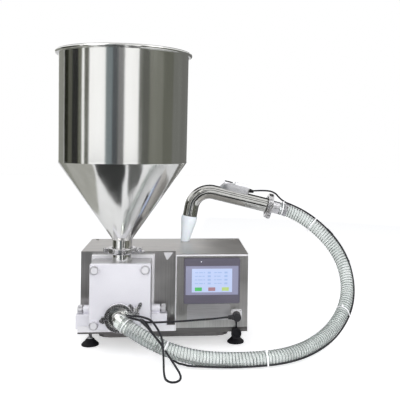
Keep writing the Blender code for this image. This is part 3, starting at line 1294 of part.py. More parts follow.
def nozzle_barb():
    """The hose tail of the nozzle: a flange that meets the pipe's and a ribbed stem."""
    face = FERRULE_SEAT * 2
    stem = (BARB_START - TUBE_END).length
    end = (BARB_END - TUBE_END).length
    bore = BARB_RADIUS - PIPE_WALL
    profile = [(bore, face), (FERRULE_RADIUS, face),
               (FERRULE_RADIUS, face + FERRULE_EDGE - FERRULE_SLOPE),
               (NOZZLE_STEM_RADIUS, face + FERRULE_EDGE), (NOZZLE_STEM_RADIUS, stem),
               (BARB_RADIUS, stem)]
    pitch = (end - stem) / BARB_RIDGES
    for number in range(BARB_RIDGES):
        low = stem + pitch * number
        profile += [(BARB_RADIUS + BARB_RIDGE, low + pitch / 3), (BARB_RADIUS, low + pitch)]
    profile.append((bore, end))
    mesh = turned_mesh("nozzle_barb", profile)
    place(part("nozzle_barb", mesh, "polished_stainless"), TUBE_END, TUBE_ALONG)


def nozzle_clamp():
    """The hose end's clamp, its two halves hinged together, and its wing nut."""
    centre = TUBE_END + TUBE_ALONG * FERRULE_SEAT
    ear = (-Y_AXIS) * math.cos(NOZZLE_EAR_ANGLE) + TUBE_UP * math.sin(NOZZLE_EAR_ANGLE)
    axis = -TUBE_ALONG
    clamp_half("nozzle_clamp_front", 1, centre, axis, ear)
    clamp_half("nozzle_clamp_back", -1, centre, axis, ear, EAR_THICKNESS + NUT_HEIGHT)
    wing_nut("nozzle_wing_nut", centre, axis, ear)


def switch_housing():
    """Metal body saddled on the tube, a white switch box behind and the button's well."""
    base = TUBE_START + TUBE_ALONG * SWITCH_START
    housing = part("switch_housing", box_mesh(
        "switch_housing", (SWITCH_LENGTH, SWITCH_WIDTH, SWITCH_HEIGHT + SADDLE_DEPTH)),
        "satin_stainless", smooth=False)
    deck = NOZZLE_PIPE_RADIUS + SWITCH_HEIGHT
    middle = base + TUBE_ALONG * (SWITCH_LENGTH / 2) \
        + TUBE_UP * (deck - (SWITCH_HEIGHT + SADDLE_DEPTH) / 2)
    place(housing, middle, TUBE_UP, TUBE_ALONG)
    bevel(housing, 2 * EDGE)
    shelf = box_mesh("switch_box", (SWITCH_BOX_LENGTH, SWITCH_BOX_WIDTH,
                                    SWITCH_BOX_HEIGHT + EDGE))
    spot = base + TUBE_ALONG * (SWITCH_LENGTH - SWITCH_BOX_LENGTH / 2 - EDGE) \
        + TUBE_UP * (deck + (SWITCH_BOX_HEIGHT - EDGE) / 2)
    white = place(tool("switch_box", shelf), spot, TUBE_UP, TUBE_ALONG)
    bevel(white, EDGE)
    join(housing, white)
    cut(housing, rod_tool("tube_seat", base - TUBE_ALONG * OVERRUN, TUBE_ALONG,
                          NOZZLE_PIPE_RADIUS + GAP, SWITCH_LENGTH + 2 * OVERRUN, WIDE_STEPS))
    well_depth = BUTTON_HEIGHT - BUTTON_PROUD + BUTTON_TRAVEL + GAP
    well = box_mesh("button_well", (BUTTON_LENGTH + 2 * GAP, BUTTON_WIDTH + 2 * GAP,
                                    well_depth + OVERRUN))
    centre = base + TUBE_ALONG * (BUTTON_START + BUTTON_LENGTH / 2)
    cut(housing, place(tool("button_well", well),
                       centre + TUBE_UP * (deck - (well_depth - OVERRUN) / 2),
                       TUBE_UP, TUBE_ALONG))
    button = box_mesh("nozzle_button", (BUTTON_LENGTH, BUTTON_WIDTH, BUTTON_HEIGHT))
    piece = part("nozzle_button", button, "black_plastic", smooth=False)
    place(piece, centre + TUBE_UP * (deck + BUTTON_PROUD - BUTTON_HEIGHT / 2),
          TUBE_UP, TUBE_ALONG)
    bevel(piece, EDGE)
    return base + TUBE_ALONG * SWITCH_LENGTH + TUBE_UP * (deck - SWITCH_HEIGHT / 2)


def control_cable(switch_end):
    """The button's cable: from its plug to the hose, a loop, and along the hose."""
    plug_y = -SOCKET_FLANGE_THICKNESS - PLUG_EXIT_SETBACK
    start = Vector((SOCKET_X - PLUG_EXIT_REACH - GAP, plug_y, SOCKET_Z))
    finish = switch_end + TUBE_ALONG * GAP
    route = [start, start - X_AXIS * 2 * CABLE_RADIUS]
    route += [Vector(point) for point in CABLE_ROUTE]
    route += [finish + TUBE_ALONG * 2 * CABLE_RADIUS, finish]
    free = even_points(curve_points(route[1:-1], SPAN_PARTS), CABLE_POINTS - 2)
    points = [start, *free, finish]
    mesh = tube_mesh("control_cable", points, [CABLE_RADIUS] * len(points), 2)
    part("control_cable", mesh, "black_rubber")


def touch_panel():
    """Bezel with its body through the cabinet's front, and the glass in its pocket."""
    face = -PANEL_PROUD
    mesh = sheet_mesh("panel_housing",
                      [rounded_outline(PANEL_WIDTH, PANEL_HEIGHT, PANEL_CORNER)],
                      PANEL_PROUD - GAP)
    housing = place(part("panel_housing", mesh, "grey_plastic", smooth=False),
                    (PANEL_X, face, PANEL_Z), Y_AXIS, X_AXIS)
    bevel(housing, EDGE)
    join(housing, box_tool(
        "panel_body",
        (PANEL_X - PANEL_BODY_WIDTH / 2, face + EDGE * 2, PANEL_Z - PANEL_BODY_HEIGHT / 2),
        (PANEL_X + PANEL_BODY_WIDTH / 2, PANEL_BODY_DEPTH,
         PANEL_Z + PANEL_BODY_HEIGHT / 2)))
    pocket = GLASS_THICKNESS + GAP + GLASS_RECESS
    cut(housing, box_tool(
        "glass_pocket",
        (PANEL_X - GLASS_WIDTH / 2 - GAP, face - OVERRUN, GLASS_Z - GLASS_HEIGHT / 2 - GAP),
        (PANEL_X + GLASS_WIDTH / 2 + GAP, face + pocket, GLASS_Z + GLASS_HEIGHT / 2 + GAP)))
    front = face + GLASS_RECESS
    box_part("panel_glass",
             (PANEL_X - GLASS_WIDTH / 2, front, GLASS_Z - GLASS_HEIGHT / 2),
             (PANEL_X + GLASS_WIDTH / 2, front + GLASS_THICKNESS, GLASS_Z + GLASS_HEIGHT / 2),
             "screen_glass")


def control_socket():
    """Square flange, threaded nose and rear body of the nozzle's panel socket."""
    face = -GAP - SOCKET_FLANGE_THICKNESS
    mesh = sheet_mesh("control_socket",
                      [rounded_outline(SOCKET_FLANGE, SOCKET_FLANGE, SOCKET_CORNER)],
                      SOCKET_FLANGE_THICKNESS)
    socket = place(part("control_socket", mesh, "polished_stainless"),
                   (SOCKET_X, face, SOCKET_Z), Y_AXIS, X_AXIS)
    join(socket, rod_tool("socket_nose", (SOCKET_X, -SOCKET_NOSE_LENGTH, SOCKET_Z), Y_AXIS,
                          SOCKET_NOSE_RADIUS, SOCKET_NOSE_LENGTH - GAP, SMALL_STEPS))
    join(socket, rod_tool("socket_body", (SOCKET_X, -SOCKET_FLANGE_THICKNESS / 2, SOCKET_Z),
                          Y_AXIS, SOCKET_BODY_RADIUS, SOCKET_BODY_LENGTH, SMALL_STEPS))
    cut(socket, rod_tool("socket_bore", (SOCKET_X, -SOCKET_NOSE_LENGTH - OVERRUN, SOCKET_Z),
                         Y_AXIS, SOCKET_BORE_RADIUS, SOCKET_NOSE_LENGTH + OVERRUN, PIN_STEPS))


def cable_plug():
    """Angled plug screwed on the socket, its cable leaving to the left."""
    back = SOCKET_FLANGE_THICKNESS + 2 * GAP
    front = back + PLUG_LENGTH
    nose = SOCKET_NOSE_LENGTH + GAP
    profile = ((0, nose), (SOCKET_NOSE_RADIUS + GAP, nose), (SOCKET_NOSE_RADIUS + GAP, back),
               (PLUG_RADIUS, back), (PLUG_RADIUS, front - 2 * EDGE),
               (PLUG_RADIUS - 2 * EDGE, front), (0, front))
    plug = part("cable_plug", turned_mesh("cable_plug", profile[::-1]), "black_plastic")
    place(plug, (SOCKET_X, 0, SOCKET_Z), -Y_AXIS)
    exit_y = -SOCKET_FLANGE_THICKNESS - PLUG_EXIT_SETBACK
    join(plug, rod_tool("plug_exit", (SOCKET_X - PLUG_RADIUS / 2, exit_y, SOCKET_Z), -X_AXIS,
                        PLUG_EXIT_RADIUS, PLUG_EXIT_REACH - PLUG_RADIUS / 2, PIN_STEPS))


def dust_cap():
    """The socket's open cap, hanging by its strap from the flange's lower edge."""
    face = SOCKET_FLANGE_THICKNESS + 2 * GAP
    top = SOCKET_Z - STRAP_TOP_DROP
    pivot = Vector((SOCKET_X, -face, top - STRAP_THICKNESS))
    drop = pivot.z - SOCKET_Z + CAP_DROP
    profile = ((0, 0), (CAP_RADIUS, 0), (CAP_RADIUS, CAP_DEPTH),
               (CAP_RADIUS - CAP_WALL, CAP_DEPTH), (CAP_RADIUS - CAP_WALL, CAP_FLOOR),
               (0, CAP_FLOOR))
    mesh = turned_mesh("dust_cap", profile[::-1], ROUND_STEPS)
    mesh.transform(Matrix.Translation((0, -drop, 0)))
    cap = place(part("dust_cap", mesh, "black_rubber"), pivot, -Y_AXIS)
    join(cap, box_tool("cap_strap",
                       (SOCKET_X - STRAP_WIDTH / 2, -face - STRAP_THICKNESS,
                        pivot.z - drop + CAP_RADIUS - EDGE),
                       (SOCKET_X + STRAP_WIDTH / 2, -face, top)))


def mains_inlet():
    """Appliance inlet with its rocker, on the cabinet's back."""
    back = CABINET_DEPTH + GAP
    face = CABINET_DEPTH + MAINS_PROUD
    half_width = MAINS_WIDTH / 2
    half_height = MAINS_HEIGHT / 2
    inlet = box_part("mains_inlet", (INLET_X - half_width, back, INLET_Z - half_height),
                     (INLET_X + half_width, face, INLET_Z + half_height), "black_plastic")
    join(inlet, box_tool("inlet_body",
                         (INLET_X - half_width + MAINS_RIM, face - MAINS_BODY_DEPTH,
                          INLET_Z - half_height + MAINS_RIM),
                         (INLET_X + half_width - MAINS_RIM, face - MAINS_PROUD / 2,
                          INLET_Z + half_height - MAINS_RIM)))
    mouth_z = INLET_Z - SOCKET_MOUTH_DROP
    cut(inlet, box_tool("inlet_mouth",
                        (INLET_X - SOCKET_MOUTH_WIDTH / 2, face - SOCKET_MOUTH_DEPTH,
                         mouth_z - SOCKET_MOUTH_HEIGHT / 2),
                        (INLET_X + SOCKET_MOUTH_WIDTH / 2, face + OVERRUN,
                         mouth_z + SOCKET_MOUTH_HEIGHT / 2)))
    rocker_z = INLET_Z + ROCKER_RISE
    pivot = Vector((INLET_X, face - ROCKER_SINK, rocker_z))
    start = pivot - X_AXIS * (ROCKER_WIDTH / 2 + GAP)
    cut(inlet, rod_tool("rocker_well", start, X_AXIS, ROCKER_RADIUS + 2 * GAP,
                        ROCKER_WIDTH + 2 * GAP))
    shape = []
    for step in range(ROCKER_STEPS + 1):
        angle = math.pi - ROCKER_TILT * 3 + (math.pi + 6 * ROCKER_TILT) * step / ROCKER_STEPS
        shape.append((ROCKER_RADIUS * math.cos(angle), ROCKER_RADIUS * math.sin(angle)))
    shape.append((0, ROCKER_RADIUS * math.sin(ROCKER_TILT)))
    mesh = sheet_mesh("power_rocker", [shape], ROCKER_WIDTH)
    mesh.transform(Matrix.Rotation(ROCKER_TILT, 4, "Z")
                   @ Matrix.Translation((0, 0, -ROCKER_WIDTH / 2)))
    place(part("power_rocker", mesh, "black_plastic", smooth=False), pivot, X_AXIS, -Z_AXIS)


clear_scene()
PARTS = new_collection("cake_filling_machine")
TOOLS = new_collection("cutters")
MATERIALS = make_materials()
FRAME = bpy.data.objects.new("machine_frame", None)
PARTS.objects.link(FRAME)
FRAME.location = MIDDLE

cabinet_shell()
cabinet_lid()
base_pan()
levelling_feet()
mount_plate()
rotor_case()
cover_gasket()
pump_cover()
cover_knobs()
turning_set()
gear_housing()
gearmotor()
motor_driver()
side_clamps()
hopper()
clamp("neck", (PUMP_X, INLET_Y, NECK_CLAMP_HEIGHT), -Z_AXIS, X_AXIS)
OUTLET_EAR = X_AXIS * math.cos(OUTLET_EAR_ANGLE) + Z_AXIS * math.sin(OUTLET_EAR_ANGLE)
clamp("outlet", (PUMP_X, OUTLET_CLAMP_Y, PORT_HEIGHT), -Y_AXIS, OUTLET_EAR)
ELBOW_END, HOSE_START_HEADING = outlet_elbow()
feed_hose(ELBOW_END, HOSE_START_HEADING)
nozzle_tube()
nozzle_tip()
nozzle_barb()
nozzle_clamp()
control_cable(switch_housing())
touch_panel()
control_socket()
cable_plug()
dust_cap()
mains_inlet()
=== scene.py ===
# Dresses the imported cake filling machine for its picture. Metres, +Z up, -Y is the front.
import math

import bmesh
import bpy
from mathutils import Matrix, Vector


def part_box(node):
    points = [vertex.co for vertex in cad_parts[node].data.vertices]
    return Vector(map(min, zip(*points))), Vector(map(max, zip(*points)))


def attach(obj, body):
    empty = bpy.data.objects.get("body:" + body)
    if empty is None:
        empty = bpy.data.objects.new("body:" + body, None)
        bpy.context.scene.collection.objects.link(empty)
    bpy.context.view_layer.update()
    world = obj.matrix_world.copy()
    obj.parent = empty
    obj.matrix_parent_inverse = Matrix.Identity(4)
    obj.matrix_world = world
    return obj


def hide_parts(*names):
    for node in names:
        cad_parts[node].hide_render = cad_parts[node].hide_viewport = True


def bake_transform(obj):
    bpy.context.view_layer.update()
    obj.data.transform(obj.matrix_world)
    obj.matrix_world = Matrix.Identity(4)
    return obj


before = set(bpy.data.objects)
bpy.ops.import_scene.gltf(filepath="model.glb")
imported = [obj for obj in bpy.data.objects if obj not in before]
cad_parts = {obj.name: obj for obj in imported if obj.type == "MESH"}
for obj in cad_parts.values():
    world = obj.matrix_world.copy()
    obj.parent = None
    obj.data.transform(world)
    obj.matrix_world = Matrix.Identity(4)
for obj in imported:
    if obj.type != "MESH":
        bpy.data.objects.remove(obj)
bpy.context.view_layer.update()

# Places are written from the middle of the cabinet's front edge, level with the table, and
# HOME carries them to the model's own zero.
shell_low, shell_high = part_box("cabinet_shell")
HOME = Vector(((shell_low.x + shell_high.x) / 2, shell_low.y, 0))
HOME_PLACE = Matrix.Translation(HOME)
X_AXIS = Vector((1, 0, 0))
Y_AXIS = Vector((0, 1, 0))
Z_AXIS = Vector((0, 0, 1))


def at(x, y, z):
    return HOME + Vector((x, y, z))


# The camera stands a metre and a half in front of the cabinet, level with the foot of the
# hopper's drum. It looks level, so that uprights stay upright, and its lens is shifted down
# and to the left.
CAMERA_SPOT = at(0.0274, -1.4688, 0.4871)
CAMERA_YAW = math.radians(5.82)
CAMERA_ROLL = math.radians(0.75)
FOCAL_LENGTH = 55.9
SENSOR_WIDTH = 36.0
LENS_SHIFT = (-0.1025, -0.1439)
camera = bpy.data.objects.new("camera", bpy.data.cameras.new("camera"))
bpy.context.scene.collection.objects.link(camera)
camera.data.lens = FOCAL_LENGTH
camera.data.sensor_width = SENSOR_WIDTH
camera.data.shift_x, camera.data.shift_y = LENS_SHIFT
camera.location = CAMERA_SPOT
camera.rotation_mode = "QUATERNION"
camera.rotation_quaternion = (
    Matrix.Rotation(-CAMERA_YAW, 3, "Z")
    @ Matrix.Rotation(math.pi / 2, 3, "X")
    @ Matrix.Rotation(CAMERA_ROLL, 3, "Z")).to_quaternion()
bpy.context.scene.camera = camera
bpy.context.scene.view_settings.view_transform = "Standard"


# Feed hose: soft clear PVC with a steel wire wound into its wall, pushed over the elbow's
# barbs and the nozzle's, lying on the table in between. The wire makes the wall ripple.
FIT = 0.0003
HOSE_RADIUS = 0.0165
HOSE_RIPPLE = 0.00045
HOSE_SIDES = 40
HOSE_RINGS = 980
WIRE_TURNS = 140
WIRE_STEPS = 22
WIRE_RADIUS = 0.00075
WIRE_SPREAD = 0.0147
HOSE_ROUTE = (
    (-0.018, -0.122, 0.052), (0.025, -0.128, 0.034), (0.080, -0.131, 0.0205),
    (0.144, -0.132, 0.0168), (0.213, -0.130, 0.0166), (0.278, -0.112, 0.0175),
    (0.344, -0.066, 0.0245), (0.402, -0.008, 0.041), (0.448, 0.050, 0.075),
    (0.468, 0.090, 0.113), (0.4685, 0.122, 0.158), (0.451, 0.148, 0.205),
    (0.414, 0.169, 0.249), (0.366, 0.186, 0.287))
SPAN_PARTS = 24
HOSE_POINTS = 190
HOSE_CALM = 40
HOSE_HELD = 4
HOSE_FINE_PARTS = 6
PUMP_X = -0.0975
ELBOW_START = Vector((PUMP_X, -0.0683, 0.0936))
ELBOW_BEND = 0.0195
ELBOW_STEPS = 6
ELBOW_STRAIGHT = 0.004
ELBOW_COLLAR = 0.0015
HOSE_HEADING = Vector((0.76, -0.45, -0.47)).normalized()
LEG_LEAN = math.radians(10)
TUBE_FALL = math.radians(13.5)
LEG_UP = Vector((math.sin(LEG_LEAN), 0, math.cos(LEG_LEAN)))
TUBE_ALONG = Vector((math.cos(TUBE_FALL), 0, -math.sin(TUBE_FALL)))
TUBE_UP = Vector((math.sin(TUBE_FALL), 0, math.cos(TUBE_FALL)))
TIP_FOOT = Vector((0.0500, 0.192, 0.2228))
LEG_LENGTH = 0.0935
NOZZLE_BEND = 0.048
TUBE_LENGTH = 0.1535
LEG_TOP = TIP_FOOT + LEG_UP * LEG_LENGTH
TUBE_START = LEG_TOP + (LEG_UP + TUBE_ALONG) * NOZZLE_BEND * math.tan(
    LEG_UP.angle(TUBE_ALONG) / 2)
TUBE_END = TUBE_START + TUBE_ALONG * TUBE_LENGTH
NOZZLE_STEM = 0.0287
NOZZLE_BARB = 0.018


def arc(start, heading, end_heading, radius, steps):
    """Points of a bend from one heading to another, its start left out."""
    angle = heading.angle(end_heading)
    side = (end_heading - heading * heading.dot(end_heading)).normalized()
    return [start + heading * radius * math.sin(angle * step / steps)
            + side * radius * (1 - math.cos(angle * step / steps))
            for step in range(1, steps + 1)]


def through(route, parts):
    """A smooth line through a route, with a number of points for each span."""
    ends = [route[0] * 2 - route[1], *route, route[-1] * 2 - route[-2]]
    points = []
    for a, b, c, d in zip(ends, ends[1:], ends[2:], ends[3:]):
        for step in range(parts):
            t = step / parts
            points.append(0.5 * (2 * b + (c - a) * t + (2 * a - 5 * b + 4 * c - d) * t ** 2
                                 + (3 * b - a - 3 * c + d) * t ** 3))
    return [*points, route[-1]]


def evenly(line, count):
    """The same line with evenly spaced points."""
    reach = [0.0]
    for first, second in zip(line, line[1:]):
        reach.append(reach[-1] + (second - first).length)
    points = []
    index = 0
    for number in range(count):
        target = reach[-1] * number / (count - 1)
        while index < len(line) - 2 and reach[index + 1] < target:
            index += 1
        share = (target - reach[index]) / (reach[index + 1] - reach[index])
        points.append(line[index].lerp(line[index + 1], share))
    return points


def eased(points, passes, held):
    """The same line with its bends relaxed, apart from the points held at each end."""
    for _ in range(passes):
        calm = list(points)
        for number in range(held, len(points) - held):
            calm[number] = (points[number - 1] + points[number + 1]) / 2
        points = calm
    return points


def carried(points):
    """A heading, a side and an up direction at each point, carried along without twist."""
    last = len(points) - 1
    side = None
    found = []
    for number in range(len(points)):
        ahead = (points[min(number + 1, last)] - points[max(number - 1, 0)]).normalized()
        side = ahead.orthogonal() if side is None else side
        side = (side - ahead * side.dot(ahead)).normalized()
        found.append((ahead, side, ahead.cross(side)))
    return found


def around(centre, side, up, angle, reach):
    """The point at an angle and a distance from a centre, from side towards up."""
    return centre + (side * math.cos(angle) + up * math.sin(angle)) * reach


def skin(shape, rows, caps=True, joined=False):
    """Faces between rings of points; a ring of one point closes to it."""
    made = [[shape.verts.new(point) for point in row] for row in rows]
    pairs = list(zip(made, made[1:]))
    if joined:
        pairs.append((made[-1], made[0]))
    for lower, upper in pairs:
        count = max(len(lower), len(upper))
        for here in range(count):
            after = (here + 1) % count
            low = [lower[here], lower[after]] if len(lower) > 1 else [lower[0]]
            high = [upper[after], upper[here]] if len(upper) > 1 else [upper[0]]
            shape.faces.new(low + high)
    if caps and not joined:
        for row in (made[0], made[-1]):
            if len(row) > 2:
                shape.faces.new(row)


def tube(shape, points, radius, sides, caps=True):
    """A tube along points; radius is a length, or a function of the point's number and angle."""
    size = radius if callable(radius) else lambda number, angle: radius
    turns = [math.tau * step / sides for step in range(sides)]
    skin(shape, [[around(point, side, up, angle, size(number, angle)) for angle in turns]
                 for number, (point, (ahead, side, up))
                 in enumerate(zip(points, carried(points)))], caps)


def piece(name, shape, finish, body, *nodes, sharp=38):
    """Turn a shape into a named piece that rides on a body and stands for CAD nodes."""
    mesh = bpy.data.meshes.new(name)
    bmesh.ops.recalc_face_normals(shape, faces=shape.faces)
    shape.to_mesh(mesh)
    shape.free()
    mesh.materials.append(finish)
    mesh.shade_smooth()
    mesh.set_sharp_from_angle(angle=math.radians(sharp))
    made = bpy.data.objects.new(name, mesh)
    bpy.context.scene.collection.objects.link(made)
    if body:
        # Broad faces keep their own direction and only the rounded edges turn.
        made.modifiers.new("normals", "WEIGHTED_NORMAL").keep_sharp = True
        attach(made, body)
    if nodes:
        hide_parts(*nodes)
    return made


def linear(code):
    """A sRGB hex colour as linear red, green, blue and alpha."""
    parts = [int(code[place:place + 2], 16) / 255 for place in (1, 3, 5)]
    return (*[part / 12.92 if part <= 0.04045 else ((part + 0.055) / 1.055) ** 2.4
              for part in parts], 1.0)


def add(tree, kind, settings, links):
    """Add a node with its settings and links; keys name its inputs or its own settings."""
    made = tree.nodes.new(kind)
    for key, value in settings.items():
        if isinstance(key, int) or key in made.inputs:
            made.inputs[key].default_value = value
        else:
            setattr(made, key, value)
    for key, source in links.items():
        tree.links.new(source, made.inputs[key])
    return made


def plain(name, slot, **values):
    """A material from the values that are the same all over it; slot is not used."""
    made = bpy.data.materials.new(name)
    made.use_nodes = True
    for key, value in values.items():
        socket = made.node_tree.nodes["Principled BSDF"].inputs[key.replace("_", " ")]
        socket.default_value = value
    return made


CLOUD_SIZE = 70.0


def grained(name, slot, metallic, grain, dark, light, rough, relief, detail=3.0,
            part_clouds=0.35, **values):
    """A material with a grain of a real size in its colour, its roughness and its height.

    grain is its size in millimetres, the same all ways or along X, Y and Z, and relief its
    height in millimetres; rough is the lowest and highest roughness. Clouds are broad, soft
    changes over it.
    """
    # A viewer that doesn't follow the nodes shows the middle of the colours.
    middle = [(a + b) / 2 for a, b in zip(linear(dark), linear(light))]
    made = plain(name, slot, Base_Color=middle, Roughness=sum(rough) / 2,
                 Metallic=metallic, **values)
    sizes = grain if isinstance(grain, tuple) else (grain,) * 3
    tree = made.node_tree
    shader = tree.nodes["Principled BSDF"]
    spot = add(tree, "ShaderNodeTexCoord", {}, {})
    scaled = add(tree, "ShaderNodeMapping", {"Scale": [1000 / size for size in sizes]},
                 {"Vector": spot.outputs["Object"]})
    fine = add(tree, "ShaderNodeTexNoise", {"Scale": 1.0, "Detail": detail, "Roughness": 0.6},
               {"Vector": scaled.outputs["Vector"]})
    clouds = add(tree, "ShaderNodeTexNoise", {"Scale": 1000 / CLOUD_SIZE, "Detail": 2.0},
                 {"Vector": spot.outputs["Object"]})
    both = add(tree, "ShaderNodeMix", {0: part_clouds},
               {2: fine.outputs["Fac"], 3: clouds.outputs["Fac"]})
    spread = add(tree, "ShaderNodeMapRange", {"From Min": 0.3, "From Max": 0.7},
                 {"Value": both.outputs[0]})
    tone = add(tree, "ShaderNodeMix",
               {"data_type": "RGBA", 6: linear(dark), 7: linear(light)},
               {0: spread.outputs["Result"]})
    tree.links.new(tone.outputs[2], shader.inputs["Base Color"])
    gloss = add(tree, "ShaderNodeMapRange", {"To Min": rough[0], "To Max": rough[1]},
                {"Value": spread.outputs["Result"]})
    tree.links.new(gloss.outputs["Result"], shader.inputs["Roughness"])
    bump = add(tree, "ShaderNodeBump", {"Strength": 0.6, "Distance": relief / 1000},
               {"Height": fine.outputs["Fac"]})
    tree.links.new(bump.outputs["Normal"], shader.inputs["Normal"])
    return made


# Soft PVC is clear and a little milky, with a faint grey-green cast; its gloss is broken by
# fine drag marks from the extruder, drawn 3 mm apart so that they show.
clear_pvc = grained("clear PVC, extruded", "clear_pvc", 0.0, 3.0, "#DDE4E1", "#F4F7F6",
                    (0.08, 0.2), 0.06, Transmission_Weight=0.86, IOR=1.45)
# The wire is bright drawn spring steel seen through the wall, so it looks dark and green.
spring_wire = grained("spring steel wire, drawn", "clear_pvc", 0.8, 2.0, "#5F6C68", "#939E9A",
                      (0.25, 0.45), 0.02)

elbow_bend_start = ELBOW_START - Y_AXIS * ELBOW_STRAIGHT
elbow_end = arc(elbow_bend_start, -Y_AXIS, HOSE_HEADING, ELBOW_BEND, ELBOW_STEPS)[-1]
elbow_end += HOSE_HEADING * ELBOW_COLLAR
hose_start = elbow_end + HOSE_HEADING * 2 * FIT
hose_tail = TUBE_END + TUBE_ALONG * NOZZLE_STEM + TUBE_ALONG * FIT
hose_route = [hose_start + HOSE_HEADING * HOSE_RADIUS * step for step in range(3)]
hose_route += [Vector(point) for point in HOSE_ROUTE]
hose_route += [hose_tail + TUBE_ALONG * HOSE_RADIUS * step for step in (2, 1, 0)]
hose_line = [HOME + point for point in eased(
    evenly(through(hose_route, SPAN_PARTS), HOSE_POINTS), HOSE_CALM, HOSE_HELD)]
hose_points = evenly(through(hose_line, HOSE_FINE_PARTS), HOSE_RINGS)
hose_frames = carried(hose_points)


def hose_surface(number, angle):
    turns = WIRE_TURNS * number / (HOSE_RINGS - 1)
    return HOSE_RADIUS - HOSE_RIPPLE + HOSE_RIPPLE * math.cos(math.tau * turns - angle)


shape = bmesh.new()
tube(shape, hose_points, hose_surface, HOSE_SIDES, caps=False)
feed_hose = piece("clear_hose", shape, clear_pvc, None, "feed_hose")
wire_line = evenly(hose_points, WIRE_TURNS * WIRE_STEPS + 1)
wire_points = [around(point, side, up, math.tau * number / WIRE_STEPS, WIRE_SPREAD)
               for number, (point, (ahead, side, up))
               in enumerate(zip(wire_line, carried(wire_line)))]
shape = bmesh.new()
tube(shape, wire_points, WIRE_RADIUS, 6)
hose_wire = piece("hose_wire", shape, spring_wire, None)

# Control cable: two cores in a black PVC sheath, from its plug on the front to the switch
# on the nozzle. It makes a loop on the table and then lies along the hose, tied to it.
CABLE_RADIUS = 0.0023
CABLE_POINTS = 420
CABLE_ROUTE = (
    (0.118, -0.024, 0.076), (0.083, -0.025, 0.074), (0.025, -0.036, 0.074),
    (-0.031, -0.066, 0.082), (-0.057, -0.0885, 0.095), (-0.073, -0.1025, 0.104),
    (-0.0765, -0.1165, 0.1115), (-0.064, -0.128, 0.114), (-0.046, -0.128, 0.112),
    (-0.024, -0.128, 0.103), (-0.007, -0.135, 0.082), (0, -0.142, 0.066),
    (0.0025, -0.1488, 0.048), (0.004, -0.159, 0.027), (0.005, -0.172, 0.011),
    (0.0075, -0.187, 0.0033), (0.012, -0.202, 0.0027), (0.0215, -0.2125, 0.0027),
    (0.033, -0.209, 0.0027), (0.0395, -0.194, 0.0027), (0.0385, -0.176, 0.005),
    (0.030, -0.160, 0.014), (0.018, -0.1505, 0.029), (0.0085, -0.1467, 0.0425),
    (-0.005, -0.139, 0.060), (-0.018, -0.1335, 0.074), (-0.032, -0.128, 0.089),
    (-0.045, -0.118, 0.0985), (-0.047, -0.102, 0.099), (-0.038, -0.088, 0.088),
    (-0.025, -0.086, 0.068), (-0.009, -0.092, 0.043), (0.008, -0.096, 0.021),
    (0.026, -0.104, 0.008), (0.044, -0.120, 0.0035), (0.064, -0.142, 0.0027),
    (0.089, -0.1525, 0.0027), (0.144, -0.1535, 0.0027), (0.213, -0.1515, 0.0027),
    (0.284, -0.1325, 0.003), (0.354, -0.083, 0.011), (0.4125, -0.022, 0.027),
    (0.460, 0.0365, 0.059), (0.486, 0.083, 0.0995), (0.491, 0.1185, 0.147),
    (0.4755, 0.1455, 0.2025), (0.435, 0.1685, 0.2575), (0.383, 0.184, 0.2995),
    (0.338, 0.191, 0.325), (0.304, 0.192, 0.343), (0.281, 0.192, 0.3555),
    (0.256, 0.192, 0.358))
# Between these two of its points the cable lies against the hose; it eases in and out.
SHARED = (188, 404)
EASE = 8
SOCKET_X = 0.171
SOCKET_Z = 0.078
PLUG_Y = -0.022
PLUG_REACH = 0.021
PLUG_EXIT = Vector((SOCKET_X - PLUG_REACH - FIT, PLUG_Y, SOCKET_Z))
SWITCH_START = 0.013
SWITCH_LENGTH = 0.078
SWITCH_HEIGHT = 0.0155
PIPE_RADIUS = 0.019
SWITCH_BASE = TUBE_START + TUBE_ALONG * SWITCH_START
CABLE_END = SWITCH_BASE + TUBE_ALONG * (SWITCH_LENGTH + FIT) + TUBE_UP * (
    PIPE_RADIUS + SWITCH_HEIGHT / 2)


def nearest(points, target):
    return min(points, key=lambda point: (point - target).length)


cable_route = [PLUG_EXIT - X_AXIS * 2 * CABLE_RADIUS, *[Vector(p) for p in CABLE_ROUTE],
               CABLE_END + TUBE_ALONG * 2 * CABLE_RADIUS]
cable_points = [HOME + point for point in (
    PLUG_EXIT, *evenly(through(cable_route, SPAN_PARTS), CABLE_POINTS), CABLE_END)]
for number in range(*SHARED):
    hold = min(1.0, (number - SHARED[0]) / EASE, (SHARED[1] - number) / EASE)
    point = cable_points[number]
    centre = nearest(hose_points, point)
    touch = centre + (point - centre).normalized() * (HOSE_RADIUS + CABLE_RADIUS + FIT)
    cable_points[number] = point.lerp(touch, hold)

# A PVC sheath is black with a soft shine, and a little lighter where it has been rubbed.
black_sheath = grained("black PVC sheath", "black_rubber", 0.0, 2.5, "#0E0E11", "#232329",
                       (0.32, 0.5), 0.03)
shape = bmesh.new()
tube(shape, cable_points, CABLE_RADIUS, 14)
control_cable = piece("black_cable", shape, black_sheath, None, "control_cable")

# Ties and tape: white nylon ties with their cut tails hold the cable to the hose, drawn so
# tight that they bite into the soft wall. Two wraps of black tape close the cable's sheath.
TIE_WIDTH = 0.0034
TIE_THICKNESS = 0.0011
TIE_BITE = -0.0008
TIE_HEAD = ((-0.0030, -0.0026, -0.0005), (0.0030, 0.0026, 0.0032))
TIE_TAIL = ((-0.0014, -0.0006, 0.0030), (0.0014, 0.0006, 0.0085))
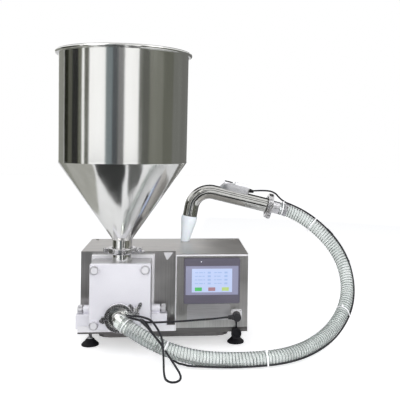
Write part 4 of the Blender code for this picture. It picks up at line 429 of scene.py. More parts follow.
# Each tie's place, as a share of the hose's length, and the turn of its head, as a share of
# half a turn from the cable. The first holds the strand that comes down from the pump.
TIE_SPOTS = ((0.112, 0.9), (0.335, 0.55), (0.625, 0.65), (0.900, 0.95), (0.992, 0.75))
FIRST_TIE_END = 0.2
FIRST_STRAND = (80, 100)
TIE_SLACK = 6 * CABLE_RADIUS
TAPE_SPOTS = ((342, 344), (361, 367))
TAPE_THICKNESS = 0.0009
white_nylon = grained("white nylon, moulded", "white_plastic", 0.0, 4.0, "#E6E6E9", "#FAFAFB",
                      (0.32, 0.48), 0.02)
black_tape = grained("black PVC tape", "black_rubber", 0.0, 3.0, "#0D0D0F", "#212126",
                     (0.3, 0.5), 0.05)


def wrapped(centre, ahead, other):
    """A loop of points round the hose at a place, drawn out to hold the cable too."""
    toward = other - centre
    toward = toward - ahead * toward.dot(ahead)
    gap = toward.length
    toward = toward.normalized()
    aside = ahead.cross(toward)
    reach = HOSE_RADIUS + TIE_BITE
    bulge = CABLE_RADIUS + TIE_BITE
    if gap > HOSE_RADIUS + TIE_SLACK:
        gap = 0.0
    lean = math.acos(max(-1, min(1, (reach - bulge) / gap))) if gap else 0.0
    loop = [around(centre, toward, aside, lean + (math.tau - 2 * lean) * step / 36, reach)
            for step in range(37)]
    if gap:
        loop += [around(centre + toward * gap, toward, aside, -lean + 2 * lean * step / 8,
                        bulge) for step in range(9)]
    return loop, toward, aside


def band(shape, loop, ahead, width, thickness):
    """A flat strap of a width along the hose, round a closed loop."""
    middle = sum(loop, Vector()) / len(loop)
    half = ahead * width / 2
    rows = []
    for point in loop:
        out = point - middle
        out = (out - ahead * out.dot(ahead)).normalized()
        rows.append([point - half, point + half, point + half + out * thickness,
                     point - half + out * thickness])
    skin(shape, rows, joined=True)


def stand(spot, direction, aside=None):
    """The place of a part whose own Z points in a direction and X towards aside."""
    z = Vector(direction).normalized()
    hint = Vector(aside) if aside is not None else (X_AXIS if abs(z.x) < 0.9 else Y_AXIS)
    x = (hint - z * hint.dot(z)).normalized()
    made = Matrix((x, z.cross(x), z)).transposed().to_4x4()
    made.translation = spot
    return made


def block(shape, low, high, where, edge=0.0, parts=2):
    """A box between two corners, with rounded edges."""
    low = Vector(low)
    high = Vector(high)
    size = Matrix.Diagonal((*(high - low), 1))
    made = bmesh.ops.create_cube(
        shape, size=1, matrix=where @ Matrix.Translation((low + high) / 2) @ size)
    if edge:
        edges = {line for corner in made["verts"] for line in corner.link_edges}
        bmesh.ops.bevel(shape, geom=list(edges), offset=edge, segments=parts,
                        affect="EDGES", profile=0.5)


ties = bmesh.new()
tapes = bmesh.new()
for share, head_turn in TIE_SPOTS:
    number = int(share * (HOSE_RINGS - 1))
    centre, ahead = hose_points[number], hose_frames[number][0]
    strand = cable_points[slice(*FIRST_STRAND) if share < FIRST_TIE_END
                          else slice(SHARED[0], None)]
    loop, toward, aside = wrapped(centre, ahead, nearest(strand, centre))
    band(ties, loop, ahead, TIE_WIDTH, TIE_THICKNESS)
    # The head and its cut tail are turned up, clear of the table.
    turn = math.pi * head_turn * (1 if aside.z > 0 else -1)
    out = toward * math.cos(turn) + aside * math.sin(turn)
    head = stand(centre + out * (HOSE_RADIUS + TIE_THICKNESS), out, ahead)
    block(ties, *TIE_HEAD, head, 0.0006)
    block(ties, *TIE_TAIL, head, 0.0004)
for first, last in TAPE_SPOTS:
    tube(tapes, cable_points[first:last], CABLE_RADIUS + TAPE_THICKNESS, 14)
cable_ties = piece("cable_ties", ties, white_nylon, None, sharp=30)
tape_wraps = piece("tape_wraps", tapes, black_tape, None, sharp=30)

# The soft pieces have their places baked into their meshes; they ride on no body.
for soft in (feed_hose, hose_wire, control_cable, cable_ties, tape_wraps):
    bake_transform(soft)

# Stage: a pale table top, a white surround, a large soft lamp high on the left, a weaker
# one on the right and a broad soft one behind the camera. Black and grey cards stand and
# lie round the machine, as they do for polished metal in a studio; only reflections see
# them. Each card's tone is about the grey that polished steel shows of it.
SURROUND_STRENGTH = 0.62
TABLE_REACH = 7.0
TABLE_GLOW = 0.47
# Standing cards: from one bearing to another round the hopper, in degrees from the front.
HOPPER_Y = -0.006
CARD_NEAR = 0.9
CARD_DISTANCE = 2.6
CARD_TOP = 1.25
CARD_STEPS = 6
CARD_FLOOR = 0.0006
CARDS = ((-150, -119, "#898A83"), (-118, -104, "#22231C"), (-104, -93, "#585950"),
         (-93, -78, "#2E2E2E"), (-78, -70, "#6A6B60"), (-65, -56, "#5E5F58"),
         (-26, -15, "#788184"), (-15, -5, "#4C4F52"), (-5, 5, "#7C7C7C"),
         (29, 35, "#70716C"), (35, 48, "#5A5B56"), (48, 75, "#74756D"),
         (75, 98, "#65665E"), (98, 124, "#71726E"), (124, 150, "#6E6E6B"),
         (150, 173, "#727270"))
FLOOR_CARDS = (("#383939", ((-0.39, -0.178), (-0.10, -0.178), (-0.09, -0.236),
                            (-0.05, -0.264), (-0.03, -0.85), (-0.85, -0.85))),
               ("#5E5F5E", ((-0.02, -0.192), (0.02, -0.190), (0.10, -0.178), (0.14, -0.195),
                            (0.32, -0.85), (0.0, -0.85), (-0.02, -0.264))),
               ("#A6A6A1", ((-0.41, -0.16), (-0.90, -0.55), (-1.6, 0.9), (-0.62, 0.9))),
               ("#3A3A38", ((0.16, -0.40), (0.42, -0.35), (0.75, -2.4), (0.05, -2.4))))
# Hanging cards: the depth and height of their near edge and of their far edge.
FLAGS = ((-2.2, 1.45, -2.2, 2.0), (-1.25, 2.5, -0.75, 2.6), (0.9, 2.5, 2.7, 1.6))
FLAG_REACH = 1.6
FLAG_TONE = "#2B2B2D"

world = bpy.data.worlds.new("white surround")
bpy.context.scene.world = world
world.use_nodes = True
surround = world.node_tree
sky = surround.nodes["Background"]
sky.inputs["Color"].default_value = linear("#F4F5F7")
sky.inputs["Strength"].default_value = SURROUND_STRENGTH
rays = add(surround, "ShaderNodeLightPath", {}, {})
seen = add(surround, "ShaderNodeBackground", {"Color": (1, 1, 1, 1), "Strength": 1.0}, {})
straight = add(surround, "ShaderNodeMath", {"operation": "MAXIMUM"},
               {0: rays.outputs["Is Camera Ray"], 1: rays.outputs["Is Glossy Ray"]})
either = add(surround, "ShaderNodeMath", {"operation": "MAXIMUM"},
             {0: straight.outputs["Value"], 1: rays.outputs["Is Transmission Ray"]})
chosen = add(surround, "ShaderNodeMixShader", {},
             {0: either.outputs["Value"], 1: sky.outputs["Background"],
              2: seen.outputs["Background"]})
surround.links.new(chosen.outputs["Shader"], surround.nodes["World Output"].inputs["Surface"])


def lamp(name, spot, target, size, power):
    """A soft rectangular lamp turned to a target."""
    made = bpy.data.objects.new(name, bpy.data.lights.new(name, "AREA"))
    made.data.shape = "RECTANGLE"
    made.data.size, made.data.size_y = size
    made.data.energy = power
    bpy.context.scene.collection.objects.link(made)
    made.location = spot
    made.rotation_mode = "QUATERNION"
    made.rotation_quaternion = (Vector(target) - Vector(spot)).to_track_quat("-Z", "Y")
    return made


lamp("key_lamp", (-1.5, -1.3, 2.3), (0, 0, 0.3), (1.6, 1.6), 15)
lamp("fill_lamp", (2.0, -1.4, 1.6), (0, 0, 0.25), (1.2, 1.8), 8)
front_lamp = lamp("front_lamp", (0.3, -2.5, 0.9), (0, 0, 0.25), (2.0, 1.2), 48)
front_lamp.visible_glossy = False

# The camera sees the table as burnt out as the wall behind it, with only a trace of shadow.
table_top = plain("white table laminate", None, Base_Color=linear("#F3F3F4"), Roughness=0.6,
                  Emission_Color=(1, 1, 1, 1))
tree = table_top.node_tree
rays = add(tree, "ShaderNodeLightPath", {}, {})
straight = add(tree, "ShaderNodeMath", {"operation": "MAXIMUM"},
               {0: rays.outputs["Is Camera Ray"], 1: rays.outputs["Is Transmission Ray"]})
glow = add(tree, "ShaderNodeMath", {"operation": "MULTIPLY", 1: TABLE_GLOW},
           {0: straight.outputs["Value"]})
tree.links.new(glow.outputs["Value"],
               tree.nodes["Principled BSDF"].inputs["Emission Strength"])


def staged(name, finish, faces):
    """A piece of the stage from the corners of its faces."""
    shape = bmesh.new()
    for corners in faces:
        shape.faces.new([shape.verts.new(corner) for corner in corners])
    mesh = bpy.data.meshes.new(name)
    shape.to_mesh(mesh)
    shape.free()
    mesh.materials.append(finish)
    made = bpy.data.objects.new(name, mesh)
    bpy.context.scene.collection.objects.link(made)
    return made


def card(name, tone, faces):
    """A glowing card of one tone that only reflections see."""
    made = staged(name, plain(f"card {tone}", None, Base_Color=(0, 0, 0, 1),
                              Specular_IOR_Level=0, Emission_Color=linear(tone),
                              Emission_Strength=1.0), faces)
    made.visible_camera = False
    made.visible_diffuse = False
    made.visible_shadow = False
    made.visible_transmission = False


staged("table_top", table_top,
       [[(x * TABLE_REACH, y * TABLE_REACH, 0) for x, y in ((-1, -1), (1, -1), (1, 1), (-1, 1))]])
card_middle = at(PUMP_X, HOPPER_Y, CARD_FLOOR)
for first, last, tone in CARDS:
    rows = []
    for step in range(CARD_STEPS + 1):
        turn = math.radians(first + (last - first) * step / CARD_STEPS)
        out = Vector((math.sin(turn), -math.cos(turn), 0))
        foot = card_middle + out * CARD_DISTANCE
        rows.append((card_middle + out * CARD_NEAR, foot, foot + Z_AXIS * CARD_TOP))
    card(f"card_{first}", tone, [(near[low], near[low + 1], far[low + 1], far[low])
                                 for near, far in zip(rows, rows[1:]) for low in (0, 1)])
for number, (tone, outline) in enumerate(FLOOR_CARDS):
    card(f"floor_card_{number}", tone, [[at(x, y, CARD_FLOOR) for x, y in outline]])
for number, (near, low, far, high) in enumerate(FLAGS):
    card(f"flag_{number}", FLAG_TONE, [[
        at(-FLAG_REACH, near, low), at(FLAG_REACH, near, low), at(FLAG_REACH, far, high),
        at(-FLAG_REACH, far, high)]])


# Cabinet: 1.5 mm stainless sheet, folded and spot welded, brushed up and down on its walls
# and from side to side on its lid. A shallower pan under it carries the drive.
CABINET_DEPTH = 0.236
RECESS_DEPTH = 0.042


def dress(finish, *nodes):
    """Give CAD nodes a finish."""
    for name in nodes:
        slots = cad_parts[name].data.materials
        slots.clear()
        slots.append(finish)


def soften_edges(width, *nodes):
    """Round the edges of CAD nodes a little, as a folded or filed edge is."""
    for name in nodes:
        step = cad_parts[name].modifiers.new("edges", "BEVEL")
        step.width = width
        step.segments = 2
        step.limit_method = "ANGLE"
        step.angle_limit = math.radians(50)


# Brushed 304 steel is grey with long fine streaks; the brush lines are 0.2 mm apart in
# truth and drawn 1.1 and 1.6 mm apart so that they show.
wall_steel = grained("stainless steel, brushed upright", "brushed_stainless", 1.0,
                     (1.1, 1.1, 150.0), "#ADABAA", "#DEDCDB", (0.26, 0.44), 0.05,
                     detail=4.0, part_clouds=0.45)
lid_steel = grained("stainless steel, brushed across", "brushed_stainless", 1.0,
                    (140.0, 1.6, 1.6), "#AEABA9", "#E2DFDC", (0.30, 0.46), 0.05, detail=4.0)
# The pan's steel is drawn darker than the walls' as painted shade, for the shade under the
# cabinet.
pan_steel_painted_shade = grained("stainless steel, darkened as painted shade", "brushed_stainless", 1.0,
                    (60.0, 2.0, 2.0), "#686665", "#848281", (0.32, 0.5), 0.05)
# Pale satin steel. On the front edge strips and on the gusset, its paleness is painted highlight.
bright_steel = grained("stainless steel, fine satin", "satin_stainless", 0.5, 0.9,
                       "#ECEBEE", "#F8F7FA", (0.30, 0.44), 0.02)
dress(wall_steel, "cabinet_shell")
dress(pan_steel_painted_shade, "base_pan")
dress(lid_steel, "cabinet_lid")
soften_edges(0.0005, "cabinet_lid")


def flat(shape, outline, thickness, where, edge=0.0, parts=2):
    """A plate from an outline in its own X and Y, its front edges rounded."""
    low = [shape.verts.new(where @ Vector((x, y, 0))) for x, y in outline]
    high = [shape.verts.new(where @ Vector((x, y, thickness))) for x, y in outline]
    shape.faces.new(low[::-1])
    top = shape.faces.new(high)
    for here in range(len(outline)):
        after = (here + 1) % len(outline)
        shape.faces.new((low[here], low[after], high[after], high[here]))
    if edge:
        bmesh.ops.bevel(shape, geom=list(top.edges), offset=edge, segments=parts,
                        affect="EDGES", profile=0.5)


def rounded(width, height, radii, steps=5, centre=(0, 0)):
    """A rectangle's outline; radii are for its corners from upper right, anticlockwise."""
    radii = radii if isinstance(radii, tuple) else (radii,) * 4
    points = []
    for turn, ((sx, sy), radius) in enumerate(zip(((1, 1), (-1, 1), (-1, -1), (1, -1)),
                                                  radii)):
        for step in range(steps + 1):
            angle = math.pi / 2 * (turn + step / steps)
            points.append((centre[0] + sx * (width / 2 - radius) + radius * math.cos(angle),
                           centre[1] + sy * (height / 2 - radius) + radius * math.sin(angle)))
    return points


# Trim of the cabinet: a gusset under the lid in the recess, drawn pale as a painted highlight,
# a bare plate under the touch panel, pale strips along the folded front edges that are painted
# highlights of the folds, the lip of the recess's floor, and a service cover screwed on the back.
# The gusset, plate, lip and cover are cut from sheet and folded or filed.
# The gusset is drawn in pale satin to stand for the white highlight on it: a painted highlight.
GUSSET = ((-0.0030, 0.2190), (0.0045, 0.2015), (0.0070, 0.2015), (0.0205, 0.2190))
shape = bmesh.new()
flat(shape, GUSSET, 0.0020, stand(at(0, RECESS_DEPTH - FIT, 0), -Y_AXIS, X_AXIS), 0.0005)
piece("lid_gusset", shape, bright_steel, "cabinet")

PLATE_X = (0.0540, 0.1570)
PLATE_Z = (0.0660, 0.1045)
PLATE_CORNERS = (0.007, 0.007, 0.0015, 0.0015)
plate_steel = grained("stainless steel label plate, bare", "brushed_stainless", 1.0,
                      (40.0, 1.2, 1.2), "#CFCDD0", "#E9E7EA", (0.36, 0.5), 0.03)
shape = bmesh.new()
flat(shape, rounded(PLATE_X[1] - PLATE_X[0], PLATE_Z[1] - PLATE_Z[0], PLATE_CORNERS,
                    centre=((PLATE_X[0] + PLATE_X[1]) / 2, (PLATE_Z[0] + PLATE_Z[1]) / 2)),
     0.0008, stand(at(0, 0, 0), -Y_AXIS, X_AXIS), 0.0003)
piece("bare_plate", shape, plate_steel, "cabinet")

# Pale strips along the front edges beside the recess: painted highlights of the folded edges.
EDGE_HIGHLIGHTS = (((0.0266, -0.0006, 0.2172), (0.1978, -0.0001, 0.2212)),
        ((0.0266, -0.0006, 0.0425), (0.0288, -0.0001, 0.2170)))
shape = bmesh.new()
for low, high in EDGE_HIGHLIGHTS:
    block(shape, low, high, HOME_PLACE, 0.0002)
piece("front_edge_highlights", shape, bright_steel, "cabinet")

LIP = ((-0.198, -0.0014, 0.0422), (0.0262, -0.0003, 0.0565))
shape = bmesh.new()
block(shape, *LIP, HOME_PLACE, 0.0004)
piece("recess_lip", shape, bright_steel, "cabinet")

COVER_WIDTH = 0.250
COVER_HEIGHT = 0.130
COVER_CENTRE = (0.040, 0.140)
COVER_SHEET = 0.0012
back_face = stand(at(0, CABINET_DEPTH, 0), Y_AXIS, -X_AXIS)
shape = bmesh.new()
flat(shape, rounded(COVER_WIDTH, COVER_HEIGHT, 0.006, centre=COVER_CENTRE), COVER_SHEET,
     back_face, 0.0004)
piece("service_cover", shape, wall_steel, "cabinet")


def lathe(shape, profile, where, steps=64, start=0.0, turn=math.tau, wave=None):
    """Turn a profile of (radius, height); it ends on the axis or is a closed outline.

    wave(angle) is a share that a knurled or fluted rim's radius is multiplied by.
    """
    if turn < math.tau:
        angles = [start + turn * step / steps for step in range(steps + 1)]
        skin(shape, [[where @ Vector((r * math.cos(angle), r * math.sin(angle), h))
                      for r, h in profile] for angle in angles])
        return
    angles = [start + math.tau * step / steps for step in range(steps)]
    rows = []
    for radius, height in profile:
        row = []
        for angle in angles if radius else (0.0,):
            reach = radius * (wave(angle) if wave else 1.0)
            row.append(where @ Vector((reach * math.cos(angle), reach * math.sin(angle),
                                       height)))
        rows.append(row)
    skin(shape, rows, caps=False, joined=profile[0][0] > 0)


SCREW_DOME = ((0, -0.0004), (0.0034, -0.0004), (0.0034, 0.0004), (0.00238, 0.00136),
              (0.0013, 0.0016), (0.0011, 0.0006), (0, 0.0004))
SCREW_INSET = 0.008
zinc_steel = grained("stainless steel screw head", "polished_stainless", 1.0, 0.8,
                     "#B4B4B8", "#EAEAED", (0.2, 0.36), 0.02)
shape = bmesh.new()
for sx in (-1, 0, 1):
    for sy in (-1, 1):
        spot = back_face @ Vector((COVER_CENTRE[0] + sx * (COVER_WIDTH / 2 - SCREW_INSET),
                                   COVER_CENTRE[1] + sy * (COVER_HEIGHT / 2 - SCREW_INSET),
                                   COVER_SHEET))
        lathe(shape, SCREW_DOME, stand(spot, Y_AXIS), 24)
piece("service_screws", shape, zinc_steel, "cabinet")

# Levelling feet: a black rubber pad moulded on a steel stem, which is screwed into the base
# and held by a lock nut. The rubber is matt, with dust in its grain.
FOOT_SPOTS = {"front_left": (-0.174, 0.040), "front_right": (0.174, 0.040),
              "rear_left": (-0.174, 0.196), "rear_right": (0.174, 0.196)}
FOOT_PAD = ((0, 0), (0.0205, 0), (0.0205, 0.0036), (0.0125, 0.0108), (0.0098, 0.0148),
            (0.0062, 0.0166), (0, 0.0166))
STEM_FOOT = 0.0160
STEM_TOP = 0.0378
STEM_THREAD = ((0.0038, 0), (0.0042, 0.00075))
STEM_PITCH = 0.0015
STEM_TURNS = 15
STEM_COLLAR = ((0, 0.0165), (0.0068, 0.0165), (0.0068, 0.0182), (0, 0.0184))
NUT = (0.0075, 0.0318, 0.0377)
black_rubber = grained("black rubber, moulded", "black_rubber", 0.0, 1.4, "#0A0A0C", "#1C1C20",
                       (0.48, 0.7), 0.06, Specular_IOR_Level=0.3)
bright_stem = grained("zinc-plated steel", "polished_stainless", 1.0, 2.0, "#A6A7AB",
                      "#DFE0E3", (0.18, 0.34), 0.02)


def round_off(outline, radius, parts=3, closed=False):
    """An outline with its corners rounded; an open one keeps its two ends."""
    points = [Vector(point) for point in outline]
    count = len(points)
    found = []
    for number, corner in enumerate(points):
        if not closed and number in (0, count - 1):
            found.append(tuple(corner))
            continue
        back = points[number - 1] - corner
        ahead = points[(number + 1) % count] - corner
        reach = min(radius, 0.45 * back.length, 0.45 * ahead.length)
        first = corner + back.normalized() * reach
        last = corner + ahead.normalized() * reach
        for step in range(parts + 1):
            t = step / parts
            found.append(tuple(first * (1 - t) ** 2 + corner * 2 * t * (1 - t)
                               + last * t ** 2))
    return found


def puck(radius, low, high, edge):
    """The profile of a flat disc between two heights, its rims rounded."""
    return round_off(((0, low), (radius, low), (radius, high), (0, high)), edge)


for corner, (x, y) in FOOT_SPOTS.items():
    upright = stand(at(x, y, 0), Z_AXIS)
    shape = bmesh.new()
    lathe(shape, round_off(FOOT_PAD, 0.0012), upright, 56)
    piece(f"foot_pad_{corner}", shape, black_rubber, "cabinet", f"levelling_foot_{corner}")
    shape = bmesh.new()
    thread = [(radius, STEM_FOOT + STEM_PITCH * number + rise)
              for number in range(STEM_TURNS) for radius, rise in STEM_THREAD]
    lathe(shape, [(0, STEM_FOOT), *thread, (0, STEM_TOP)], upright, 24)
    lathe(shape, STEM_COLLAR, upright, 32)
    lathe(shape, puck(*NUT, 0.0006), upright, 6)
    piece(f"foot_stem_{corner}", shape, bright_stem, "cabinet")

# Pump head: a block of stainless steel milled for two rotors, with a welded inlet, and a
# front cover with the outlet. The plates are bead-blasted, which leaves an even pale satin.
PUMP_WIDTH = 0.136
PUMP_BOTTOM = 0.0627
PUMP_TOP = 0.2095
PUMP_FRONT = -0.052
satin_steel = grained("stainless steel, bead-blasted", "satin_stainless", 0.45, 1.0,
                      "#E8E7EE", "#F3F2F8", (0.36, 0.48), 0.03, part_clouds=0.45)
milled_steel = grained("stainless steel, milled", "polished_stainless", 1.0, (1.2, 1.2, 30.0),
                       "#AEADB0", "#E2E1E4", (0.24, 0.42), 0.04)
white_silicone = grained("white food-grade silicone", "white_silicone", 0.0, 3.0,
                         "#E2E2E4", "#F5F5F6", (0.4, 0.6), 0.03, Subsurface_Weight=0.1)
dress(satin_steel, "pump_cover", "side_block_left", "side_block_right")
dress(milled_steel, "rotor_case")
dress(bright_steel, "mount_plate")
dress(white_silicone, "cover_gasket")
soften_edges(0.0004, "pump_cover", "rotor_case", "mount_plate", "side_block_left",
             "side_block_right")

# Cover knobs: turned from stainless bar, knurled round the rim and polished on the face,
# which has a shallow ring cut in it. A disc let into each is blasted like the cover.
KNOB_RADIUS = 0.0100
KNOB_LENGTH = 0.0125
KNOB_INSET = 0.0118
KNOB_SCREW = (0.0040, 0.0300)
DISC_RADIUS = 0.0076
DISC_SUNK = 0.0002
DISC_PROUD = 0.0005
polished_steel = grained("stainless steel, polished", "polished_stainless", 1.0, 2.0,
                         "#E2E2DF", "#F7F7F5", (0.06, 0.16), 0.01)
turned_steel = grained("stainless steel, turned and knurled", "polished_stainless", 1.0, 0.8,
                       "#DEDDE1", "#F7F6F9", (0.26, 0.42), 0.02)
pale_steel = grained("stainless steel, turned and blasted", "satin_stainless", 0.5, 0.8,
                     "#E6E5EA", "#FAF9FC", (0.3, 0.46), 0.02)


def knurl(angle):
    return 1 - 0.022 * (1 - math.cos(36 * angle))


def hand_knob(shape, radius, length, screw_radius, screw_end, where):
    """A knurled knob on its screw; its Z points away from the hand."""
    lathe(shape, [(0, -FIT), (screw_radius, -FIT), (screw_radius, screw_end - 0.0010),
                  (screw_radius - 0.0008, screw_end), (0, screw_end)], where, 24)
    rim = round_off(((0, -FIT), (radius * 0.97, -FIT), (radius, -FIT - 0.0008),
                     (radius, 0.0016 - length), (radius * 0.90, -length)), 0.0003)
    lathe(shape, [*rim, (radius * 0.62, -length), (radius * 0.60, 0.0007 - length),
                  (radius * 0.50, 0.0007 - length), (radius * 0.48, -length), (0, -length)],
          where, 144, wave=knurl)


for row, height in (("upper", PUMP_TOP - KNOB_INSET), ("lower", PUMP_BOTTOM + KNOB_INSET)):
    for side, across in (("left", -1), ("right", 1)):
        spot = at(PUMP_X + across * (PUMP_WIDTH / 2 - KNOB_INSET), PUMP_FRONT, height)
        where = stand(spot, Y_AXIS)
        body = f"{row}_{side}_knob"
        shape = bmesh.new()
        hand_knob(shape, KNOB_RADIUS, KNOB_LENGTH, *KNOB_SCREW, where)
        piece(f"knob_{row}_{side}", shape, turned_steel, body, f"cover_knob_{row}_{side}",
              sharp=50)
        shape = bmesh.new()
        lathe(shape, puck(DISC_RADIUS, DISC_SUNK - KNOB_LENGTH, -DISC_PROUD - KNOB_LENGTH,
                          0.0003), where, 48)
        piece(f"knob_disc_{row}_{side}", shape, pale_steel, body)

# Side screws: the same turned knobs, smaller and without a disc, on screws that press the
# head to its seat.
SIDE_Y = 0.0135
SIDE_Z = 0.0930
SIDE_NECK = 0.0231
SIDE_RADIUS = 0.0098
SIDE_LENGTH = 0.0110
for side, sign in (("left", -1), ("right", 1)):
    face = PUMP_X + sign * (PUMP_WIDTH / 2 + FIT)
    where = stand(at(face, SIDE_Y, SIDE_Z), X_AXIS * -sign)
    shape = bmesh.new()
    hand_knob(shape, SIDE_RADIUS, SIDE_LENGTH, KNOB_SCREW[0], SIDE_NECK - FIT,
              where @ Matrix.Translation((0, 0, FIT - SIDE_NECK)))
    piece(f"side_knob_{side}", shape, turned_steel, f"{side}_side_screw",
          f"side_screw_{side}", sharp=50)

# Drive, inside the cabinet: ground shafts and cut gears in a die-cast housing, a worm
# gearbox with a finned motor in dark stoved enamel, and its driver in a cast case.
ground_steel = grained("steel, ground", "gear_steel", 1.0, (1.0, 12.0, 1.0),
                       "#858588", "#B2B2B5", (0.2, 0.36), 0.02)
cast_alloy = grained("aluminium, die-cast", "cast_aluminium", 1.0, 1.5,
                     "#9FA1A4", "#C3C5C8", (0.42, 0.6), 0.1)
blue_enamel = grained("dark blue stoved enamel", "painted_motor", 0.0, 1.8,
                      "#1D2A3D", "#2D3D55", (0.3, 0.48), 0.08)
dress(ground_steel, "shaft_drive", "shaft_idler", "timing_gear_drive", "timing_gear_idler",
      "bearing_drive", "bearing_idler")
dress(polished_steel, "rotor_drive", "rotor_idler")
dress(cast_alloy, "gear_housing", "worm_gearbox", "motor_driver")
dress(blue_enamel, "drive_motor")
dress(black_rubber, "shaft_seal_drive", "shaft_seal_idler")

# Hopper: a drum and a cone of 1.5 mm stainless sheet, rolled, welded and mirror-polished
# inside and out, with a rolled rim and a welded neck. The polish leaves faint upright
# waves in what it mirrors, and the weld between drum and cone is a fine raised line.
HOPPER_RADIUS = 0.1480
HOPPER_FOOT = 0.1460
HOPPER_SHEET = 0.0015
HOPPER_TOP = 0.691
HOPPER_SEAM = 0.438
HOPPER_RIM = 0.0042
CONE_FOOT = 0.259
NECK_RADIUS = 0.0225
NECK_Z = 0.2335
FERRULE_RADIUS = 0.02525
FERRULE_EDGE = 0.0026
FERRULE_SLOPE = 0.0012
WELD_SUNK = 0.0004
WELD_START = 0.004
SLEEVE_Z = (0.2096, 0.2302)
mirror_steel = grained("stainless steel, mirror-polished", "polished_stainless", 1.0,
                       (26.0, 26.0, 300.0), "#EDEDEA", "#F8F8F6", (0.09, 0.15), 0.35,
                       detail=1.5, part_clouds=0.2)
hopper_axis = stand(at(PUMP_X, HOPPER_Y, 0), Z_AXIS)
face = NECK_Z + FIT / 2
rim_z = HOPPER_TOP - HOPPER_RIM
rim_x = HOPPER_RADIUS + HOPPER_RIM
inner_neck = NECK_RADIUS - HOPPER_SHEET
outer = [(inner_neck, face), (FERRULE_RADIUS, face),
         (FERRULE_RADIUS, face + FERRULE_EDGE - FERRULE_SLOPE),
         (NECK_RADIUS, face + FERRULE_EDGE), (NECK_RADIUS, CONE_FOOT),
         (HOPPER_FOOT - 0.0012, HOPPER_SEAM - 0.0022), (HOPPER_FOOT + 0.0003, HOPPER_SEAM),
         (HOPPER_FOOT, HOPPER_SEAM + 0.0022), (HOPPER_RADIUS, rim_z - HOPPER_RIM)]
bead = [(rim_x + HOPPER_RIM * math.cos(math.pi * (step / 12 - 0.5)),
         rim_z + HOPPER_RIM * math.sin(math.pi * (step / 12 - 0.5))) for step in range(21)]
inner = [(HOPPER_RADIUS - HOPPER_SHEET, rim_z - 0.003),
         (HOPPER_FOOT - HOPPER_SHEET, HOPPER_SEAM), (inner_neck, CONE_FOOT)]
shape = bmesh.new()
lathe(shape, round_off([*outer, *bead, *inner], 0.0008, 2, closed=True), hopper_axis, 192)
piece("hopper_shell", shape, mirror_steel, "cabinet", "hopper", sharp=60)
# The drum's upright weld, ground nearly flush, is turned to the back.
weld_length = rim_z - HOPPER_RIM - HOPPER_SEAM - WELD_START
weld = [at(PUMP_X, HOPPER_Y, 0) + Vector((
    0, HOPPER_FOOT + (HOPPER_RADIUS - HOPPER_FOOT) * share - WELD_SUNK,
    HOPPER_SEAM + WELD_START + weld_length * share)) for share in (n / 40 for n in range(41))]
shape = bmesh.new()
tube(shape, weld, lambda number, angle: 0.0009 + 0.00008 * (number % 2), 10)
piece("hopper_weld", shape, milled_steel, "cabinet")


def washer(inner, outer, low, high, edge):
    """The closed outline of a ring between two radii and two heights, its rims rounded."""
    return round_off(((inner, low), (outer, low), (outer, high), (inner, high)), edge, 2,
                     closed=True)


# The pump's own inlet below the clamp is a short polished sleeve.
shape = bmesh.new()
lathe(shape, washer(inner_neck, NECK_RADIUS + 0.0003, *SLEEVE_Z, 0.0002), hopper_axis, 96)
piece("inlet_sleeve", shape, mirror_steel, "cabinet")

# Sanitary clamps: two cast stainless jaws hinged together round a pair of flanges, drawn
# shut by a swing bolt with a winged nut. They are tumbled, so that edges are soft and bright.
CLAMP_RADIUS = 0.0330
CLAMP_WIDTH = 0.0130
EAR_REACH = 0.0460
EAR_CENTRE = 0.0392
EAR_THICKNESS = 0.0070
EAR_INSET = 0.0015
SPLIT = 0.0012
HINGE_REACH = 0.0385
HINGE_RADIUS = 0.0048
HINGE_WIDTH = 0.0046
PIN_RADIUS = 0.0022
PIN_INSET = 0.0006
BOLT_RADIUS = 0.0030
BOLT_HEAD = (0.0050, 0.0040)
BOLT_PITCH = 0.0012
BOLT_TURNS = 22
NUT_SEAT = EAR_THICKNESS + SPLIT / 2 + 2 * FIT
NUT_RADIUS = 0.0066
NUT_HEIGHT = 0.0100
WING = ((0.20, 0.03), (0.44, 0.03), (0.62, 0.22), (0.92, 0.56), (1.0, 0.74),
        (0.98, 0.96), (0.78, 1.0), (0.52, 0.94), (0.36, 0.62), (0.20, 0.46))
WING_REACH = 0.0150
WING_HEIGHT = 0.0190
WING_THICKNESS = 0.0036
WING_EDGE = 0.0009
cast_steel = grained("stainless steel, cast and tumbled", "polished_stainless", 1.0, 2.4,
                     "#BAB9BB", "#EAE9EB", (0.16, 0.32), 0.01)


